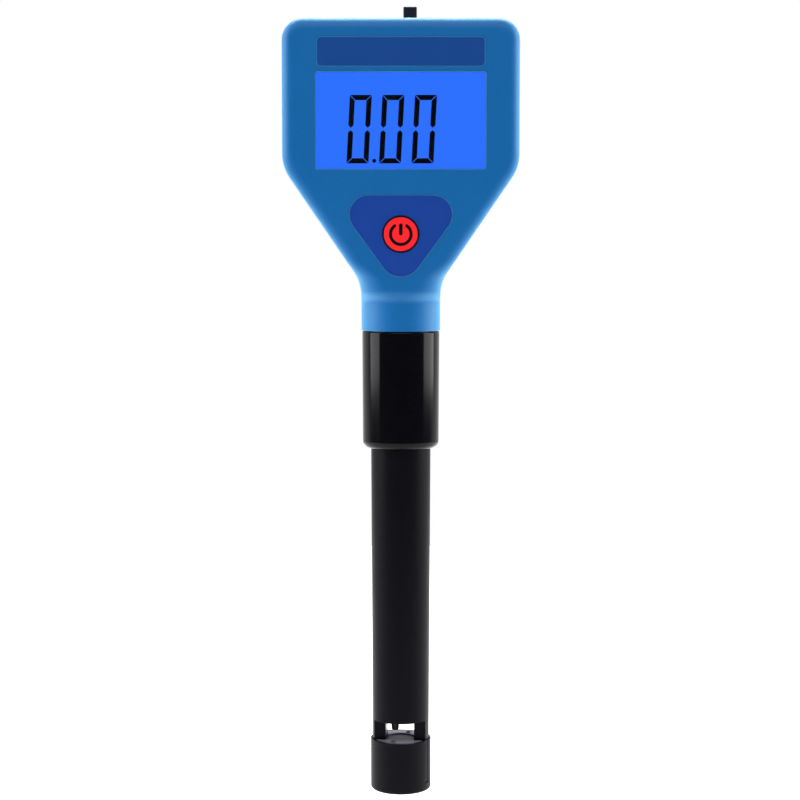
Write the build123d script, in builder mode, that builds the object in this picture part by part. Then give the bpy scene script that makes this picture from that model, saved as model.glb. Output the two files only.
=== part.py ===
from build123d import *
from math import asin, atan2, cos, radians, sin, sqrt, tan
import os

# Pen-shaped water quality tester, upright on its foot, millimetres.
# Z runs up the probe's axis, the display faces -Y, and the origin is the middle of the foot.

os.makedirs("parts", exist_ok=True)

# Heights, stacked up from the foot
foot_cap_height = 10.5
cell_window_height = 4.0
tube_exposed_length = 55.5
sleeve_length = 23.55
sleeve_top_gap = 0.15
neck_length = 5.5
neck_band_height = 2.6
shoulder_above_neck = 32.3
top_above_shoulder = 28.9

tube_end = foot_cap_height + cell_window_height
sleeve_bottom = tube_end + tube_exposed_length
sleeve_top = sleeve_bottom + sleeve_length
neck_bottom = sleeve_top + sleeve_top_gap
band_bottom = neck_bottom + neck_length
band_top = band_bottom + neck_band_height
shoulder_height = neck_bottom + shoulder_above_neck
head_top = shoulder_height + top_above_shoulder

# Head: outline seen from the front, and depth
head_width = 46.6
neck_radius = 7.9
throat_above_neck = 9.72
top_corner_radius = 4.3
shoulder_radius = 8.5
throat_radius = 8.0
head_front = 9.0
head_rear = 13.5
front_edge_radius = 2.3
rear_edge_radius = 3.2
throat_edge_radius = 5.4
throat_blend_height = 5.4
rear_sweep_height = 18.8
case_wall = 1.8
inner_edge_radius = 0.4
circle_slack = 0.05
throat_sections = 9
band_sections = 5
cut_margin = 1.0

throat_height = neck_bottom + throat_above_neck
slope = atan2(head_width / 2 - neck_radius, shoulder_height - throat_height)
sweep_top = band_bottom + rear_sweep_height
inner_front = head_front - case_wall
inner_rear = head_rear - case_wall

# Lap joint between the two shells, which meet on the plane y = 0
lip_thickness = 0.8
lip_height = 1.0
lip_clearance = 0.1

# Display window and the parts behind it
window_side_margin = 6.7
window_height = 18.8
window_above_shoulder = 8.9
window_corner_radius = 0.35
window_clearance = 0.06
window_setback = 0.12
lens_flange_margin = 1.2
lens_flange_thickness = 0.8
glass_thickness = 1.0
glass_margin = 1.0
glass_lower_margin = 2.5
contact_ledge = 2.1
display_gap = 0.1
frame_wall = 0.9
frame_corner_chamfer = 1.6

# Bare name plate film above the window
plate_side_margin = 6.95
plate_height = 5.6
plate_above_window = 1.1
plate_corner_radius = 0.8
film_thickness = 0.35
film_gap = 0.1

# Keypad film, a triangle with round corners that points down
keypad_width = 20.0
keypad_top_above_neck = 26.75
keypad_height = 16.05
keypad_slope = 36.7
keypad_corner_radius = 3.8
keypad_tip_radius = 4.2
rim_chamfer = 0.22

# Power button under the keypad film
button_above_neck = 19.15
button_radius = 3.3
button_ring_wall = 0.3
button_running_gap = 0.06
button_dome = 0.12
button_flange_radius = 4.2
button_flange_thickness = 0.6
ring_flange_thickness = 0.3
button_stem_radius = 1.5
tact_size = 4.5
tact_plunger_radius = 1.2
tact_plunger_lift = 0.7
button_travel = 0.3
tact_height = 2.6

# Main board and its parts
board_thickness = 1.6
board_edge_gap = 0.4
board_depth = 4.6
board_bottom_above_neck = 13.5
chip_size = 7.0
chip_height = 1.2
chip_above_neck = 27.0
capacitor_radius = 2.0
capacitor_height = 5.0
crystal_length = 8.0
crystal_width = 3.4
crystal_height = 3.0
trimmer_size = 4.8
trimmer_height = 2.4
trimmer_rotor_radius = 1.6
trimmer_rotor_depth = 0.6
trimmer_slot_length = 2.4
trimmer_slot_width = 0.6

# Slide switch that pokes out of the top
switch_length = 10.0
switch_depth = 3.5
switch_height = 3.6
switch_wall = 0.3
knob_width = 2.7
knob_depth = 1.9
knob_lift = 3.0
knob_offset = 1.85
switch_travel = 3.7
slot_clearance = 0.1
switch_top_gap = 0.2
switch_base_height = 0.8
terminal_pitch = 2.5
terminal_width = 0.5
terminal_drop = 1.4
knob_foot_length = 4.0
knob_edge_radius = 0.25

# Button cells, three in a row across the head
cell_diameter = 11.6
cell_length = 5.4
cell_count = 3
cell_clearance = 0.2
cell_cap_radius = 4.6
cell_cap_height = 0.3
cell_edge_chamfer = 0.3
contact_thickness = 0.3
contact_share = 0.75
leaf_depth = 2.2
bay_wall = 1.2
bay_floor = 1.0
bay_above_shoulder = 8.0

# Battery door, hinged on two pins at its lower edge
door_side_margin = 2.65
door_end_margin = 2.5
door_thickness = 1.5
door_gap = 0.15
door_knuckle_radius = 1.1
hinge_pin_radius = 0.6
hinge_pin_length = 0.9
hinge_clearance = 0.05
ledge_thickness = 1.2
notch_radius = 4.0
notch_depth = 0.9
latch_width = 6.0
latch_thickness = 0.9
latch_reach = 1.7

# Case screws
screw_radius = 1.05
screw_head_radius = 1.9
screw_head_height = 1.3
screw_clearance = 0.15
screw_seat = 6.5
screw_bite = 3.6
boss_radius = 2.7
top_screw_inset_x = 4.9
top_screw_drop = 5.0
low_screw_inset = 5.8
low_screw_above_neck = 22.8

# Probe socket, held in the neck
socket_clearance = 0.1
socket_flange_radius = 6.9
socket_flange_thickness = 1.4
socket_flange_rise = 3.3
socket_floor_thickness = 3.5
nipple_radius = 6.5
nipple_length = 5.4
nipple_chamfer = 0.4
spigot_radius = 4.7
spigot_clearance = 0.1
key_width = 1.2
key_height = 0.65
pin_circle_radius = 2.2
pin_radius = 0.4
pin_count = 4
pin_reach = 5.0
pin_tail = 1.5
contact_wall = 0.28
contact_clearance = 0.05
lead_radius = 0.45
lead_bend_radius = 1.2
lead_near_x = 1.2
lead_far_x = 3.6
lead_back_y = 1.7
lead_straight = 2.0
lead_cross_rise = 4.0
lead_low_rise = 9.0
lead_high_rise = 12.0

# Locking sleeve
sleeve_top_radius = 7.77
sleeve_bottom_radius = 7.64
sleeve_foot_rounding = 1.5
sleeve_head_rounding = 0.3
thread_clearance = 0.15
sleeve_guide_clearance = 0.1

# Probe tube, plug and measuring cell
tube_top_radius = 6.0
tube_end_radius = 5.73
tube_bore_radius = 4.7
plug_flange_thickness = 1.5
plug_seat_gap = 0.05
plug_tail_length = 8.0
glue_gap = 0.05
seal_section = 0.74
seal_slack = 0.01
end_plate_thickness = 1.5
cell_turn = -5.0
leg_half_gap = 2.9
leg_half_depth = 2.42
leg_foot_radius = 5.0
leg_foot_clearance = 2.0
leg_shoulder_gap = 0.1
rib_width = 1.1
rib_angle = 66.0
electrode_thickness = 0.4
electrode_half_width = 1.3
electrode_foot_gap = 0.4
insert_height = 10.0
lead_stub = 2.0
finger_offset = 1.15
finger_radius = 0.8
finger_tip_radius = 0.48
finger_length = 2.5
probe_wire_radius = 0.35
probe_wire_bend = 2.0
wire_straight = 4.0
wire_cross_rise = 8.0

# Foot cap over the end of the legs
cap_radius = 6.12
cap_wall = 0.97
cap_floor = 1.2
cap_edge_radius = 0.7
cap_rebate_radius = 5.5
disc_thickness = 1.2
cap_clearance = 0.06
leg_clearance = 0.12
disc_pocket_radius = 3.1
disc_pocket_depth = 0.35
drain_width = 1.05
drain_length = 1.5
drain_circle = 4.15
drain_angle = 17.0


def ease(step):
    """A smooth rise from 0 to 1 as step goes from 0 to 1."""
    held = min(max(step, 0.0), 1.0)
    return held * held * (3.0 - 2.0 * held)


def between(low, high, step):
    """The value at an eased step between low and high."""
    return low + (high - low) * ease(step)


def outline_at(height, inset):
    """Half width and lean of the head's outline below the shoulder, drawn in by inset."""
    corner = throat_height + inset * tan(slope / 2)
    radius = throat_radius + inset
    start = corner - radius * tan(slope / 2)
    half = neck_radius - inset
    if height <= start:
        return half, 0.0
    if height < start + radius * sin(slope):
        lean = asin((height - start) / radius)
        return half + radius * (1.0 - cos(lean)), lean
    return half + (height - corner) * tan(slope), slope


def outline_face(inset, low):
    """The head's front outline above a height, drawn in by inset."""
    half = head_width / 2 - inset
    foot_half = outline_at(low, inset)[0]
    shoulder = shoulder_height + inset * tan(slope / 2)
    top = head_top - inset
    with BuildSketch() as outline:
        with BuildLine():
            Polyline(
                (-foot_half, low),
                (foot_half, low),
                (half, shoulder),
                (half, top),
                (-half, top),
                (-half, shoulder),
                close=True,
            )
        make_face()
        fillet(outline.vertices().group_by(Axis.Y)[-1], top_corner_radius - inset)
        fillet(outline.vertices().group_by(Axis.Y)[1], shoulder_radius - inset)
    return outline.sketch


def section_face(height, inset):
    """The level section of the head's throat at a height, drawn in by inset."""
    half, lean = outline_at(height, inset)
    rise = (height - band_bottom) / neck_band_height
    blend = (height - band_top) / throat_blend_height
    sweep = (height - band_bottom) / rear_sweep_height
    front = between(neck_radius, head_front, rise) - inset
    rear = between(neck_radius, head_rear, sweep) - inset
    edge = between(between(neck_radius, throat_edge_radius, rise), front_edge_radius, blend)
    front_round = min(max(edge - inset, inner_edge_radius), neck_radius - inset - circle_slack)
    back_edge = between(neck_radius, rear_edge_radius, sweep)
    rear_round = min(max(back_edge - inset, inner_edge_radius), neck_radius - inset - circle_slack)
    front_run = front_round / cos(lean)
    rear_run = rear_round / cos(lean)
    with BuildSketch() as section:
        with BuildLine():
            Line((front_run - half, -front), (half - front_run, -front))
            EllipticalCenterArc((half - front_run, front_round - front), front_run, front_round,
                                start_angle=270, arc_size=90)
            Line((half, front_round - front), (half, rear - rear_round))
            EllipticalCenterArc((half - rear_run, rear - rear_round), rear_run, rear_round,
                                start_angle=0, arc_size=90)
            Line((half - rear_run, rear), (rear_run - half, rear))
            EllipticalCenterArc((rear_run - half, rear - rear_round), rear_run, rear_round,
                                start_angle=90, arc_size=90)
            Line((-half, rear - rear_round), (-half, front_round - front))
            EllipticalCenterArc((front_run - half, front_round - front), front_run, front_round,
                                start_angle=180, arc_size=90)
        make_face()
    return section.sketch


def head_form(inset, bottom):
    """The closed shape of the head, drawn in by inset on every side, open down to bottom."""
    with BuildPart() as form:
        with BuildSketch(Plane.XZ.offset(head_front - inset)):
            add(outline_face(inset, sweep_top))
        extrude(amount=inset * 2 - head_front - head_rear)
        front_rim = form.faces().sort_by(Axis.Y)[0].edges().sort_by(Axis.Z)[1:]
        fillet(front_rim, max(front_edge_radius - inset, inner_edge_radius))
        rear_rim = form.faces().sort_by(Axis.Y)[-1].edges().sort_by(Axis.Z)[1:]
        fillet(rear_rim, max(rear_edge_radius - inset, inner_edge_radius))
        for step in range(throat_sections + 1):
            height = band_top + (sweep_top - band_top) * step / throat_sections
            with BuildSketch(Plane.XY.offset(height)):
                add(section_face(height, inset))
        loft()
        for step in range(band_sections + 1):
            height = band_bottom + neck_band_height * step / band_sections
            with BuildSketch(Plane.XY.offset(height)):
                add(section_face(height, inset))
        loft()
        with BuildSketch(Plane.XY.offset(bottom)):
            Circle(neck_radius - inset)
        extrude(amount=band_bottom - bottom)
    return form.part


def facing(depth):
    """The upright plane at a depth y, seen from the front."""
    return Plane.XZ.offset(-depth)


def cell_plane(height):
    """The level plane at a height, turned as the probe sits in its socket."""
    return Plane.XY.offset(height).rotated((0, 0, cell_turn))


def lip_ring(inset, height):
    """The inner part of the case wall that laps over the parting plane towards the front."""
    with BuildPart() as ring:
        add(head_form(inset, neck_bottom))
        add(head_cavity, mode=Mode.SUBTRACT)
        with Locations((0, 0, band_top)):
            Box(head_width, height, head_top, align=(Align.CENTER, Align.MAX, Align.MIN),
                mode=Mode.INTERSECT)
    return ring.part


def keypad_face(inset):
    """The round-cornered triangle of the keypad film, drawn in by inset."""
    lean = radians(keypad_slope)
    half = keypad_width / 2 - inset
    top = keypad_top - inset
    corner = keypad_corner_radius - inset
    tip = keypad_tip_radius - inset
    wide = half - corner + corner * tan((radians(90) + lean) / 2)
    point_drop = tip / sin(lean) - tip
    reach = keypad_height - 2 * inset + point_drop
    with BuildSketch() as film:
        with BuildLine():
            Polyline((-wide, top), (0, top - reach), (wide, top), close=True)
        make_face()
        fillet(film.vertices().group_by(Axis.Y)[-1], corner)
        fillet(film.vertices().group_by(Axis.Y)[0], tip)
    return film.sketch


def leg_face(radius, half_gap, half_depth):
    """The level section of the two legs beside the measuring gap."""
    with BuildSketch() as legs:
        Circle(radius)
        Rectangle(2 * radius, 2 * half_depth, mode=Mode.INTERSECT)
        Rectangle(2 * half_gap, 2 * half_depth, mode=Mode.SUBTRACT)
    return legs.sketch


# Depths along Y, from the front face back
front_y = -head_front
wall_y = -inner_front
board_front_y = wall_y + board_depth
board_back_y = board_front_y + board_thickness
glass_y = wall_y + lens_flange_thickness + display_gap

# Sizes and heights of the display
window_width = head_width - 2 * window_side_margin
plate_width = head_width - 2 * plate_side_margin
window_low = shoulder_height + window_above_shoulder - window_height / 2
window_high = window_low + window_height
window_middle = window_low + window_height / 2
glass_low = window_low - glass_lower_margin
glass_high = window_high + glass_margin
glass_middle = (glass_low + glass_high) / 2
glass_width = window_width + 2 * glass_margin
plate_middle = window_high + plate_above_window + plate_height / 2
keypad_top = neck_bottom + keypad_top_above_neck
button_z = neck_bottom + button_above_neck
ring_radius = button_radius + button_running_gap + button_ring_wall

# Places of the case screws, in X and Z
top_screw_x = head_width / 2 - top_screw_inset_x
top_screw_z = head_top - top_screw_drop
low_screw_z = neck_bottom + low_screw_above_neck
low_screw_x = outline_at(low_screw_z, 0.0)[0] - low_screw_inset
screw_spots = [
    (top_screw_x, top_screw_z),
    (-top_screw_x, top_screw_z),
    (low_screw_x, low_screw_z),
    (-low_screw_x, low_screw_z),
]
screw_hole_radius = screw_radius + screw_clearance
counterbore_radius = screw_head_radius + screw_clearance

# Slide switch
switch_top = head_top - case_wall - switch_top_gap
switch_low = switch_top - switch_height
switch_y = board_back_y + switch_depth / 2
slot_length = knob_width + switch_travel + 2 * slot_clearance
slot_depth = knob_depth + 2 * slot_clearance

# Battery bay and door
cell_radius = cell_diameter / 2
bay_z = shoulder_height + bay_above_shoulder
bay_half_height = cell_radius + cell_clearance
bay_length = cell_count * cell_length + contact_thickness + leaf_depth
board_half_width = head_width / 2 - case_wall - board_edge_gap
side_part_x = (bay_length / 2 + bay_wall + board_half_width) / 2
door_width = bay_length + 2 * door_side_margin
door_height = 2 * (bay_half_height + door_end_margin)
bay_floor_y = board_back_y + display_gap + bay_floor
cell_y = bay_floor_y + cell_radius + contact_clearance
door_low = bay_z - door_height / 2
door_high = bay_z + door_height / 2
door_inner_y = head_rear - door_thickness
hinge_y = head_rear - door_knuckle_radius
hinge_z = door_low + door_knuckle_radius
trough_radius = door_knuckle_radius + door_gap
ledge_y = hinge_y - trough_radius - bay_wall / 2
ledge_half_width = door_width / 2 + door_gap + hinge_pin_length + bay_wall
opening_half = door_width / 2 + door_gap

# Socket and probe
nipple_low = neck_bottom - nipple_length
socket_radius = neck_radius - case_wall - socket_clearance
flange_low = neck_bottom + socket_flange_rise
flange_high = flange_low + socket_flange_thickness
socket_bore_radius = spigot_radius + spigot_clearance
socket_floor = flange_low
socket_top = socket_floor + socket_floor_thickness
plug_flange_high = nipple_low - seal_section - seal_slack
plug_flange_low = plug_flange_high - plug_flange_thickness
tube_top = plug_flange_low
sleeve_lip = plug_flange_low - plug_seat_gap
spigot_top = socket_floor - 2 * spigot_clearance
contact_radius = pin_radius + contact_clearance + contact_wall
pin_low = socket_floor - pin_reach
pin_high = socket_top + pin_tail
contact_floor = pin_low - 2 * pin_radius
contact_low = contact_floor - 2 * contact_wall
plug_low = tube_top - plug_tail_length
insert_low = tube_end + end_plate_thickness
insert_high = insert_low + insert_height
leg_shoulder = foot_cap_height + leg_shoulder_gap
electrode_low = foot_cap_height + electrode_foot_gap
disc_low = foot_cap_height - disc_thickness

# Head shells

head_outer = head_form(0.0, neck_bottom)
head_cavity = head_form(case_wall, neck_bottom - cut_margin)

with BuildPart() as front_shell:
    add(head_outer)
    add(head_cavity, mode=Mode.SUBTRACT)
    split(bisect_by=Plane.XZ, keep=Keep.TOP)
    add(lip_ring(case_wall - lip_thickness - lip_clearance, lip_height + lip_clearance),
        mode=Mode.SUBTRACT)
    with BuildSketch(facing(board_front_y)):
        with Locations(screw_spots):
            Circle(boss_radius)
    extrude(amount=board_depth + case_wall / 2)
    with BuildSketch(facing(board_front_y)):
        with Locations(screw_spots):
            Circle(screw_radius + contact_clearance)
    extrude(amount=screw_bite + screw_clearance, mode=Mode.SUBTRACT)
    with BuildSketch(facing(front_y)):
        with Locations((0, window_middle)):
            RectangleRounded(window_width, window_height, window_corner_radius)
    extrude(amount=-case_wall, mode=Mode.SUBTRACT)
    chamfer(front_shell.edges(Select.LAST).group_by(Axis.Y)[0], rim_chamfer)
    with BuildSketch(facing(front_y)):
        with Locations((0, plate_middle)):
            RectangleRounded(plate_width, plate_height, plate_corner_radius)
    extrude(amount=-film_thickness, mode=Mode.SUBTRACT)
    chamfer(front_shell.edges(Select.LAST).group_by(Axis.Y)[0], rim_chamfer)
    with BuildSketch(facing(front_y)):
        add(keypad_face(0.0))
    extrude(amount=-film_thickness, mode=Mode.SUBTRACT)
    chamfer(front_shell.edges(Select.LAST).group_by(Axis.Y)[0], rim_chamfer)
    with BuildSketch(facing(front_y)):
        with Locations((0, button_z)):
            Circle(ring_radius)
    extrude(amount=-case_wall, mode=Mode.SUBTRACT)
    with Locations((0, switch_y, switch_top)):
        Box(slot_length, slot_depth, 2 * case_wall, align=(Align.CENTER, Align.CENTER, Align.MIN),
            mode=Mode.SUBTRACT)
    with BuildSketch(Plane.XY.offset(flange_low - socket_clearance)):
        Circle(socket_flange_radius + socket_clearance)
        Rectangle(4 * neck_radius, 2 * neck_radius, align=(Align.CENTER, Align.MIN),
                  mode=Mode.SUBTRACT)
    extrude(amount=socket_flange_thickness + 2 * socket_clearance, mode=Mode.SUBTRACT)
front_shell.part.label = "front_shell"
export_step(front_shell.part, "parts/front_shell.step")

with BuildPart() as rear_shell:
    add(head_outer)
    add(head_cavity, mode=Mode.SUBTRACT)
    split(bisect_by=Plane.XZ, keep=Keep.BOTTOM)
    add(lip_ring(case_wall - lip_thickness, lip_height))
    with BuildSketch(facing(board_back_y)):
        with Locations(screw_spots):
            Circle(boss_radius)
    extrude(amount=board_back_y - inner_rear)
    with BuildSketch(facing(board_back_y + display_gap)):
        with Locations((0, bay_z)):
            Rectangle(bay_length + 2 * bay_wall, 2 * (bay_half_height + bay_wall))
    extrude(amount=board_back_y + display_gap - inner_rear)
    with BuildSketch(facing(ledge_y)):
        with Locations((0, bay_z)):
            Rectangle(2 * ledge_half_width, door_height + 2 * bay_wall)
    extrude(amount=ledge_y - inner_rear)
    with BuildSketch(facing(bay_floor_y)):
        with Locations((0, bay_z)):
            Rectangle(bay_length, 2 * bay_half_height)
    extrude(amount=bay_floor_y - head_rear, mode=Mode.SUBTRACT)
    with BuildSketch(facing(head_rear)):
        with Locations((0, hinge_z)):
            Rectangle(2 * opening_half, door_high + door_gap - hinge_z, align=(Align.CENTER, Align.MIN))
    extrude(amount=door_thickness, mode=Mode.SUBTRACT)
    with BuildSketch(facing(head_rear)):
        with Locations((0, hinge_z)):
            Rectangle(2 * opening_half, trough_radius, align=(Align.CENTER, Align.MAX))
    extrude(amount=door_knuckle_radius, mode=Mode.SUBTRACT)
    with BuildSketch(Plane.YZ.offset(-opening_half)):
        with Locations((hinge_y, hinge_z)):
            Circle(trough_radius)
    extrude(amount=2 * opening_half, mode=Mode.SUBTRACT)
    with BuildSketch(Plane.YZ.offset(-opening_half - hinge_pin_length)):
        with Locations((hinge_y, hinge_z)):
            Circle(hinge_pin_radius + hinge_clearance)
    extrude(amount=2 * (opening_half + hinge_pin_length), mode=Mode.SUBTRACT)
    with BuildSketch(facing(door_inner_y)):
        with Locations((0, door_high - latch_thickness - 2 * door_gap)):
            Rectangle(latch_width + 4 * door_gap, latch_thickness + 3 * door_gap)
    extrude(amount=latch_reach + 2 * door_gap, mode=Mode.SUBTRACT)
    with BuildSketch(facing(head_rear)):
        with Locations((0, door_high + door_gap)):
            Circle(notch_radius)
            Rectangle(4 * notch_radius, 2 * notch_radius, align=(Align.CENTER, Align.MAX),
                      mode=Mode.SUBTRACT)
    extrude(amount=notch_depth, mode=Mode.SUBTRACT)
    with BuildSketch(facing(bay_floor_y)):
        with Locations((contact_thickness / 2 - bay_length / 2, bay_z),
                       (bay_length / 2 - contact_thickness / 2, bay_z)):
            Rectangle(contact_thickness + 2 * contact_clearance, bay_half_height + 2 * contact_clearance)
    extrude(amount=2 * bay_floor, mode=Mode.SUBTRACT)
    with BuildSketch(facing(head_rear + cut_margin)):
        with Locations(screw_spots):
            Circle(counterbore_radius)
    extrude(amount=head_rear + cut_margin - screw_seat, mode=Mode.SUBTRACT)
    with BuildSketch(facing(screw_seat)):
        with Locations(screw_spots):
            Circle(screw_hole_radius)
    extrude(amount=screw_seat - board_back_y, mode=Mode.SUBTRACT)
    with Locations((0, switch_y, switch_top)):
        Box(slot_length, slot_depth, 2 * case_wall, align=(Align.CENTER, Align.CENTER, Align.MIN),
            mode=Mode.SUBTRACT)
    with BuildSketch(Plane.XY.offset(flange_low - socket_clearance)):
        Circle(socket_flange_radius + socket_clearance)
        Rectangle(4 * neck_radius, 2 * neck_radius, align=(Align.CENTER, Align.MAX),
                  mode=Mode.SUBTRACT)
    extrude(amount=socket_flange_thickness + 2 * socket_clearance, mode=Mode.SUBTRACT)
rear_shell.part.label = "rear_shell"
export_step(rear_shell.part, "parts/rear_shell.step")

# Display

with BuildPart() as display_window:
    with BuildSketch(facing(wall_y)):
        with Locations((0, window_middle)):
            RectangleRounded(window_width - 2 * window_clearance, window_height - 2 * window_clearance,
                             window_corner_radius)
    extrude(amount=case_wall - window_setback)
    with BuildSketch(facing(wall_y)):
        with Locations((0, window_middle)):
            Rectangle(window_width + 2 * lens_flange_margin, window_height + 2 * lens_flange_margin)
    extrude(amount=-lens_flange_thickness)
display_window.part.label = "display_window"
export_step(display_window.part, "parts/display_window.step")

with BuildPart() as lcd_front_glass:
    with BuildSketch(facing(glass_y)):
        with Locations((0, glass_middle)):
            Rectangle(glass_width, glass_high - glass_low)
    extrude(amount=-glass_thickness)
lcd_front_glass.part.label = "lcd_front_glass"
export_step(lcd_front_glass.part, "parts/lcd_front_glass.step")

with BuildPart() as lcd_rear_glass:
    with BuildSketch(facing(glass_y + glass_thickness)):
        with Locations((0, glass_high)):
            Rectangle(glass_width, glass_high - glass_low - contact_ledge, align=(Align.CENTER, Align.MAX))
    extrude(amount=-glass_thickness)
lcd_rear_glass.part.label = "lcd_rear_glass"
export_step(lcd_rear_glass.part, "parts/lcd_rear_glass.step")

with BuildPart() as backlight:
    with BuildSketch(facing(board_front_y)):
        with Locations((0, glass_high)):
            Rectangle(glass_width, glass_high - glass_low - contact_ledge, align=(Align.CENTER, Align.MAX))
    extrude(amount=board_front_y - glass_y - 2 * glass_thickness)
backlight.part.label = "backlight"
export_step(backlight.part, "parts/backlight.step")

with BuildPart() as contact_strip:
    with BuildSketch(facing(board_front_y)):
        with Locations((0, glass_low + display_gap)):
            Rectangle(glass_width - 2 * display_gap, contact_ledge - 2 * display_gap,
                      align=(Align.CENTER, Align.MIN))
    extrude(amount=board_front_y - glass_y - glass_thickness)
contact_strip.part.label = "contact_strip"
export_step(contact_strip.part, "parts/contact_strip.step")

with BuildPart() as display_frame:
    with BuildSketch(facing(board_front_y)) as frame_face:
        with Locations((0, glass_middle)):
            Rectangle(glass_width + 2 * (display_gap + frame_wall),
                      glass_high - glass_low + 2 * (display_gap + frame_wall))
        chamfer(frame_face.vertices().group_by(Axis.Y)[0], frame_corner_chamfer)
        with Locations((0, glass_middle)):
            Rectangle(glass_width + 2 * display_gap, glass_high - glass_low + 2 * display_gap,
                      mode=Mode.SUBTRACT)
    extrude(amount=board_front_y - glass_y)
display_frame.part.label = "display_frame"
export_step(display_frame.part, "parts/display_frame.step")

# Films on the front

with BuildPart() as name_plate:
    with BuildSketch(facing(front_y + film_thickness)):
        with Locations((0, plate_middle)):
            RectangleRounded(plate_width - 2 * film_gap, plate_height - 2 * film_gap,
                             plate_corner_radius - film_gap)
    extrude(amount=film_thickness)
name_plate.part.label = "name_plate"
export_step(name_plate.part, "parts/name_plate.step")

with BuildPart() as keypad_film:
    with BuildSketch(facing(front_y + film_thickness)):
        add(keypad_face(film_gap))
        with Locations((0, button_z)):
            Circle(ring_radius, mode=Mode.SUBTRACT)
    extrude(amount=film_thickness)
keypad_film.part.label = "keypad_film"
export_step(keypad_film.part, "parts/keypad_film.step")

# Power button

ring_back_y = wall_y + ring_flange_thickness
button_back_y = ring_back_y + button_flange_thickness
tact_top_y = board_front_y - tact_height
plunger_tip_y = tact_top_y - tact_plunger_lift

with BuildPart() as button_ring:
    with BuildSketch(facing(wall_y)):
        with Locations((0, button_z)):
            Circle(ring_radius)
            Circle(button_radius + button_running_gap, mode=Mode.SUBTRACT)
    extrude(amount=case_wall + button_dome / 2)
    with BuildSketch(facing(ring_back_y)):
        with Locations((0, button_z)):
            Circle(button_flange_radius)
            Circle(button_radius + button_running_gap, mode=Mode.SUBTRACT)
    extrude(amount=ring_flange_thickness)
button_ring.part.label = "button_ring"
export_step(button_ring.part, "parts/button_ring.step")

with BuildPart() as power_button:
    with BuildSketch(facing(ring_back_y)):
        with Locations((0, button_z)):
            Circle(button_radius)
    extrude(amount=ring_back_y - front_y + button_dome)
    fillet(power_button.edges().group_by(Axis.Y)[0], button_dome)
    with BuildSketch(facing(button_back_y)):
        with Locations((0, button_z)):
            Circle(button_flange_radius)
    extrude(amount=button_flange_thickness)
    with BuildSketch(facing(button_back_y)):
        with Locations((0, button_z)):
            Circle(button_stem_radius)
    extrude(amount=button_back_y - plunger_tip_y)
power_button.part.label = "power_button"
export_step(power_button.part, "parts/power_button.step")

with BuildPart() as tact_plunger:
    with BuildSketch(facing(tact_top_y + button_travel * 2)):
        with Locations((0, button_z)):
            Circle(tact_plunger_radius)
    extrude(amount=tact_top_y + button_travel * 2 - plunger_tip_y)
tact_plunger.part.label = "tact_plunger"
export_step(tact_plunger.part, "parts/tact_plunger.step")

with BuildPart() as tact_switch:
    with BuildSketch(facing(board_front_y)):
        with Locations((0, button_z)):
            Rectangle(tact_size, tact_size)
    extrude(amount=tact_height)
    chamfer(tact_switch.edges().filter_by(Axis.Y), rim_chamfer)
    with BuildSketch(facing(tact_top_y)):
        with Locations((0, button_z)):
            Circle(tact_plunger_radius + button_running_gap)
    extrude(amount=-4 * button_travel, mode=Mode.SUBTRACT)
tact_switch.part.label = "tact_switch"
export_step(tact_switch.part, "parts/tact_switch.step")

# Main board

board_low = neck_bottom + board_bottom_above_neck

with BuildPart() as main_board:
    with BuildSketch(facing(board_front_y)):
        add(outline_face(case_wall + board_edge_gap, board_low))
        with Locations(screw_spots):
            Circle(screw_hole_radius, mode=Mode.SUBTRACT)
    extrude(amount=-board_thickness)
main_board.part.label = "main_board"
export_step(main_board.part, "parts/main_board.step")

with BuildPart() as controller_chip:
    with BuildSketch(facing(board_back_y)):
        with Locations((0, neck_bottom + chip_above_neck)):
            Rectangle(chip_size, chip_size)
    extrude(amount=-chip_height)
    chamfer(controller_chip.edges().group_by(Axis.Y)[-1], rim_chamfer)
controller_chip.part.label = "controller_chip"
export_step(controller_chip.part, "parts/controller_chip.step")

with BuildPart() as smoothing_capacitor:
    with BuildSketch(facing(board_back_y)):
        with Locations((-side_part_x, bay_z + capacitor_radius * 2)):
            Circle(capacitor_radius)
    extrude(amount=-capacitor_height)
    chamfer(smoothing_capacitor.edges().group_by(Axis.Y)[-1], rim_chamfer)
smoothing_capacitor.part.label = "smoothing_capacitor"
export_step(smoothing_capacitor.part, "parts/smoothing_capacitor.step")

with BuildPart() as crystal:
    with BuildSketch(facing(board_back_y)):
        with Locations((-side_part_x, bay_z - crystal_length / 2)):
            SlotOverall(crystal_length, crystal_width, rotation=90)
    extrude(amount=-crystal_height)
    chamfer(crystal.edges().group_by(Axis.Y)[-1], rim_chamfer)
crystal.part.label = "crystal"
export_step(crystal.part, "parts/crystal.step")

with BuildPart() as trimmer:
    with BuildSketch(facing(board_back_y)):
        with Locations((side_part_x, bay_z)):
            Rectangle(trimmer_size, trimmer_size)
    extrude(amount=-trimmer_height)
    with BuildSketch(facing(board_back_y + trimmer_height)):
        with Locations((side_part_x, bay_z)):
            Circle(trimmer_rotor_radius)
            Rectangle(trimmer_slot_length, trimmer_slot_width, mode=Mode.SUBTRACT)
    extrude(amount=-trimmer_rotor_depth)
trimmer.part.label = "trimmer"
export_step(trimmer.part, "parts/trimmer.step")

# Slide switch

switch_bore_length = switch_length - 2 * switch_wall
switch_bore_depth = switch_depth - 2 * switch_wall
switch_base_high = switch_low + switch_base_height
knob_foot_low = switch_base_high + 2 * slot_clearance
knob_foot_high = switch_top - switch_wall - slot_clearance

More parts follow.
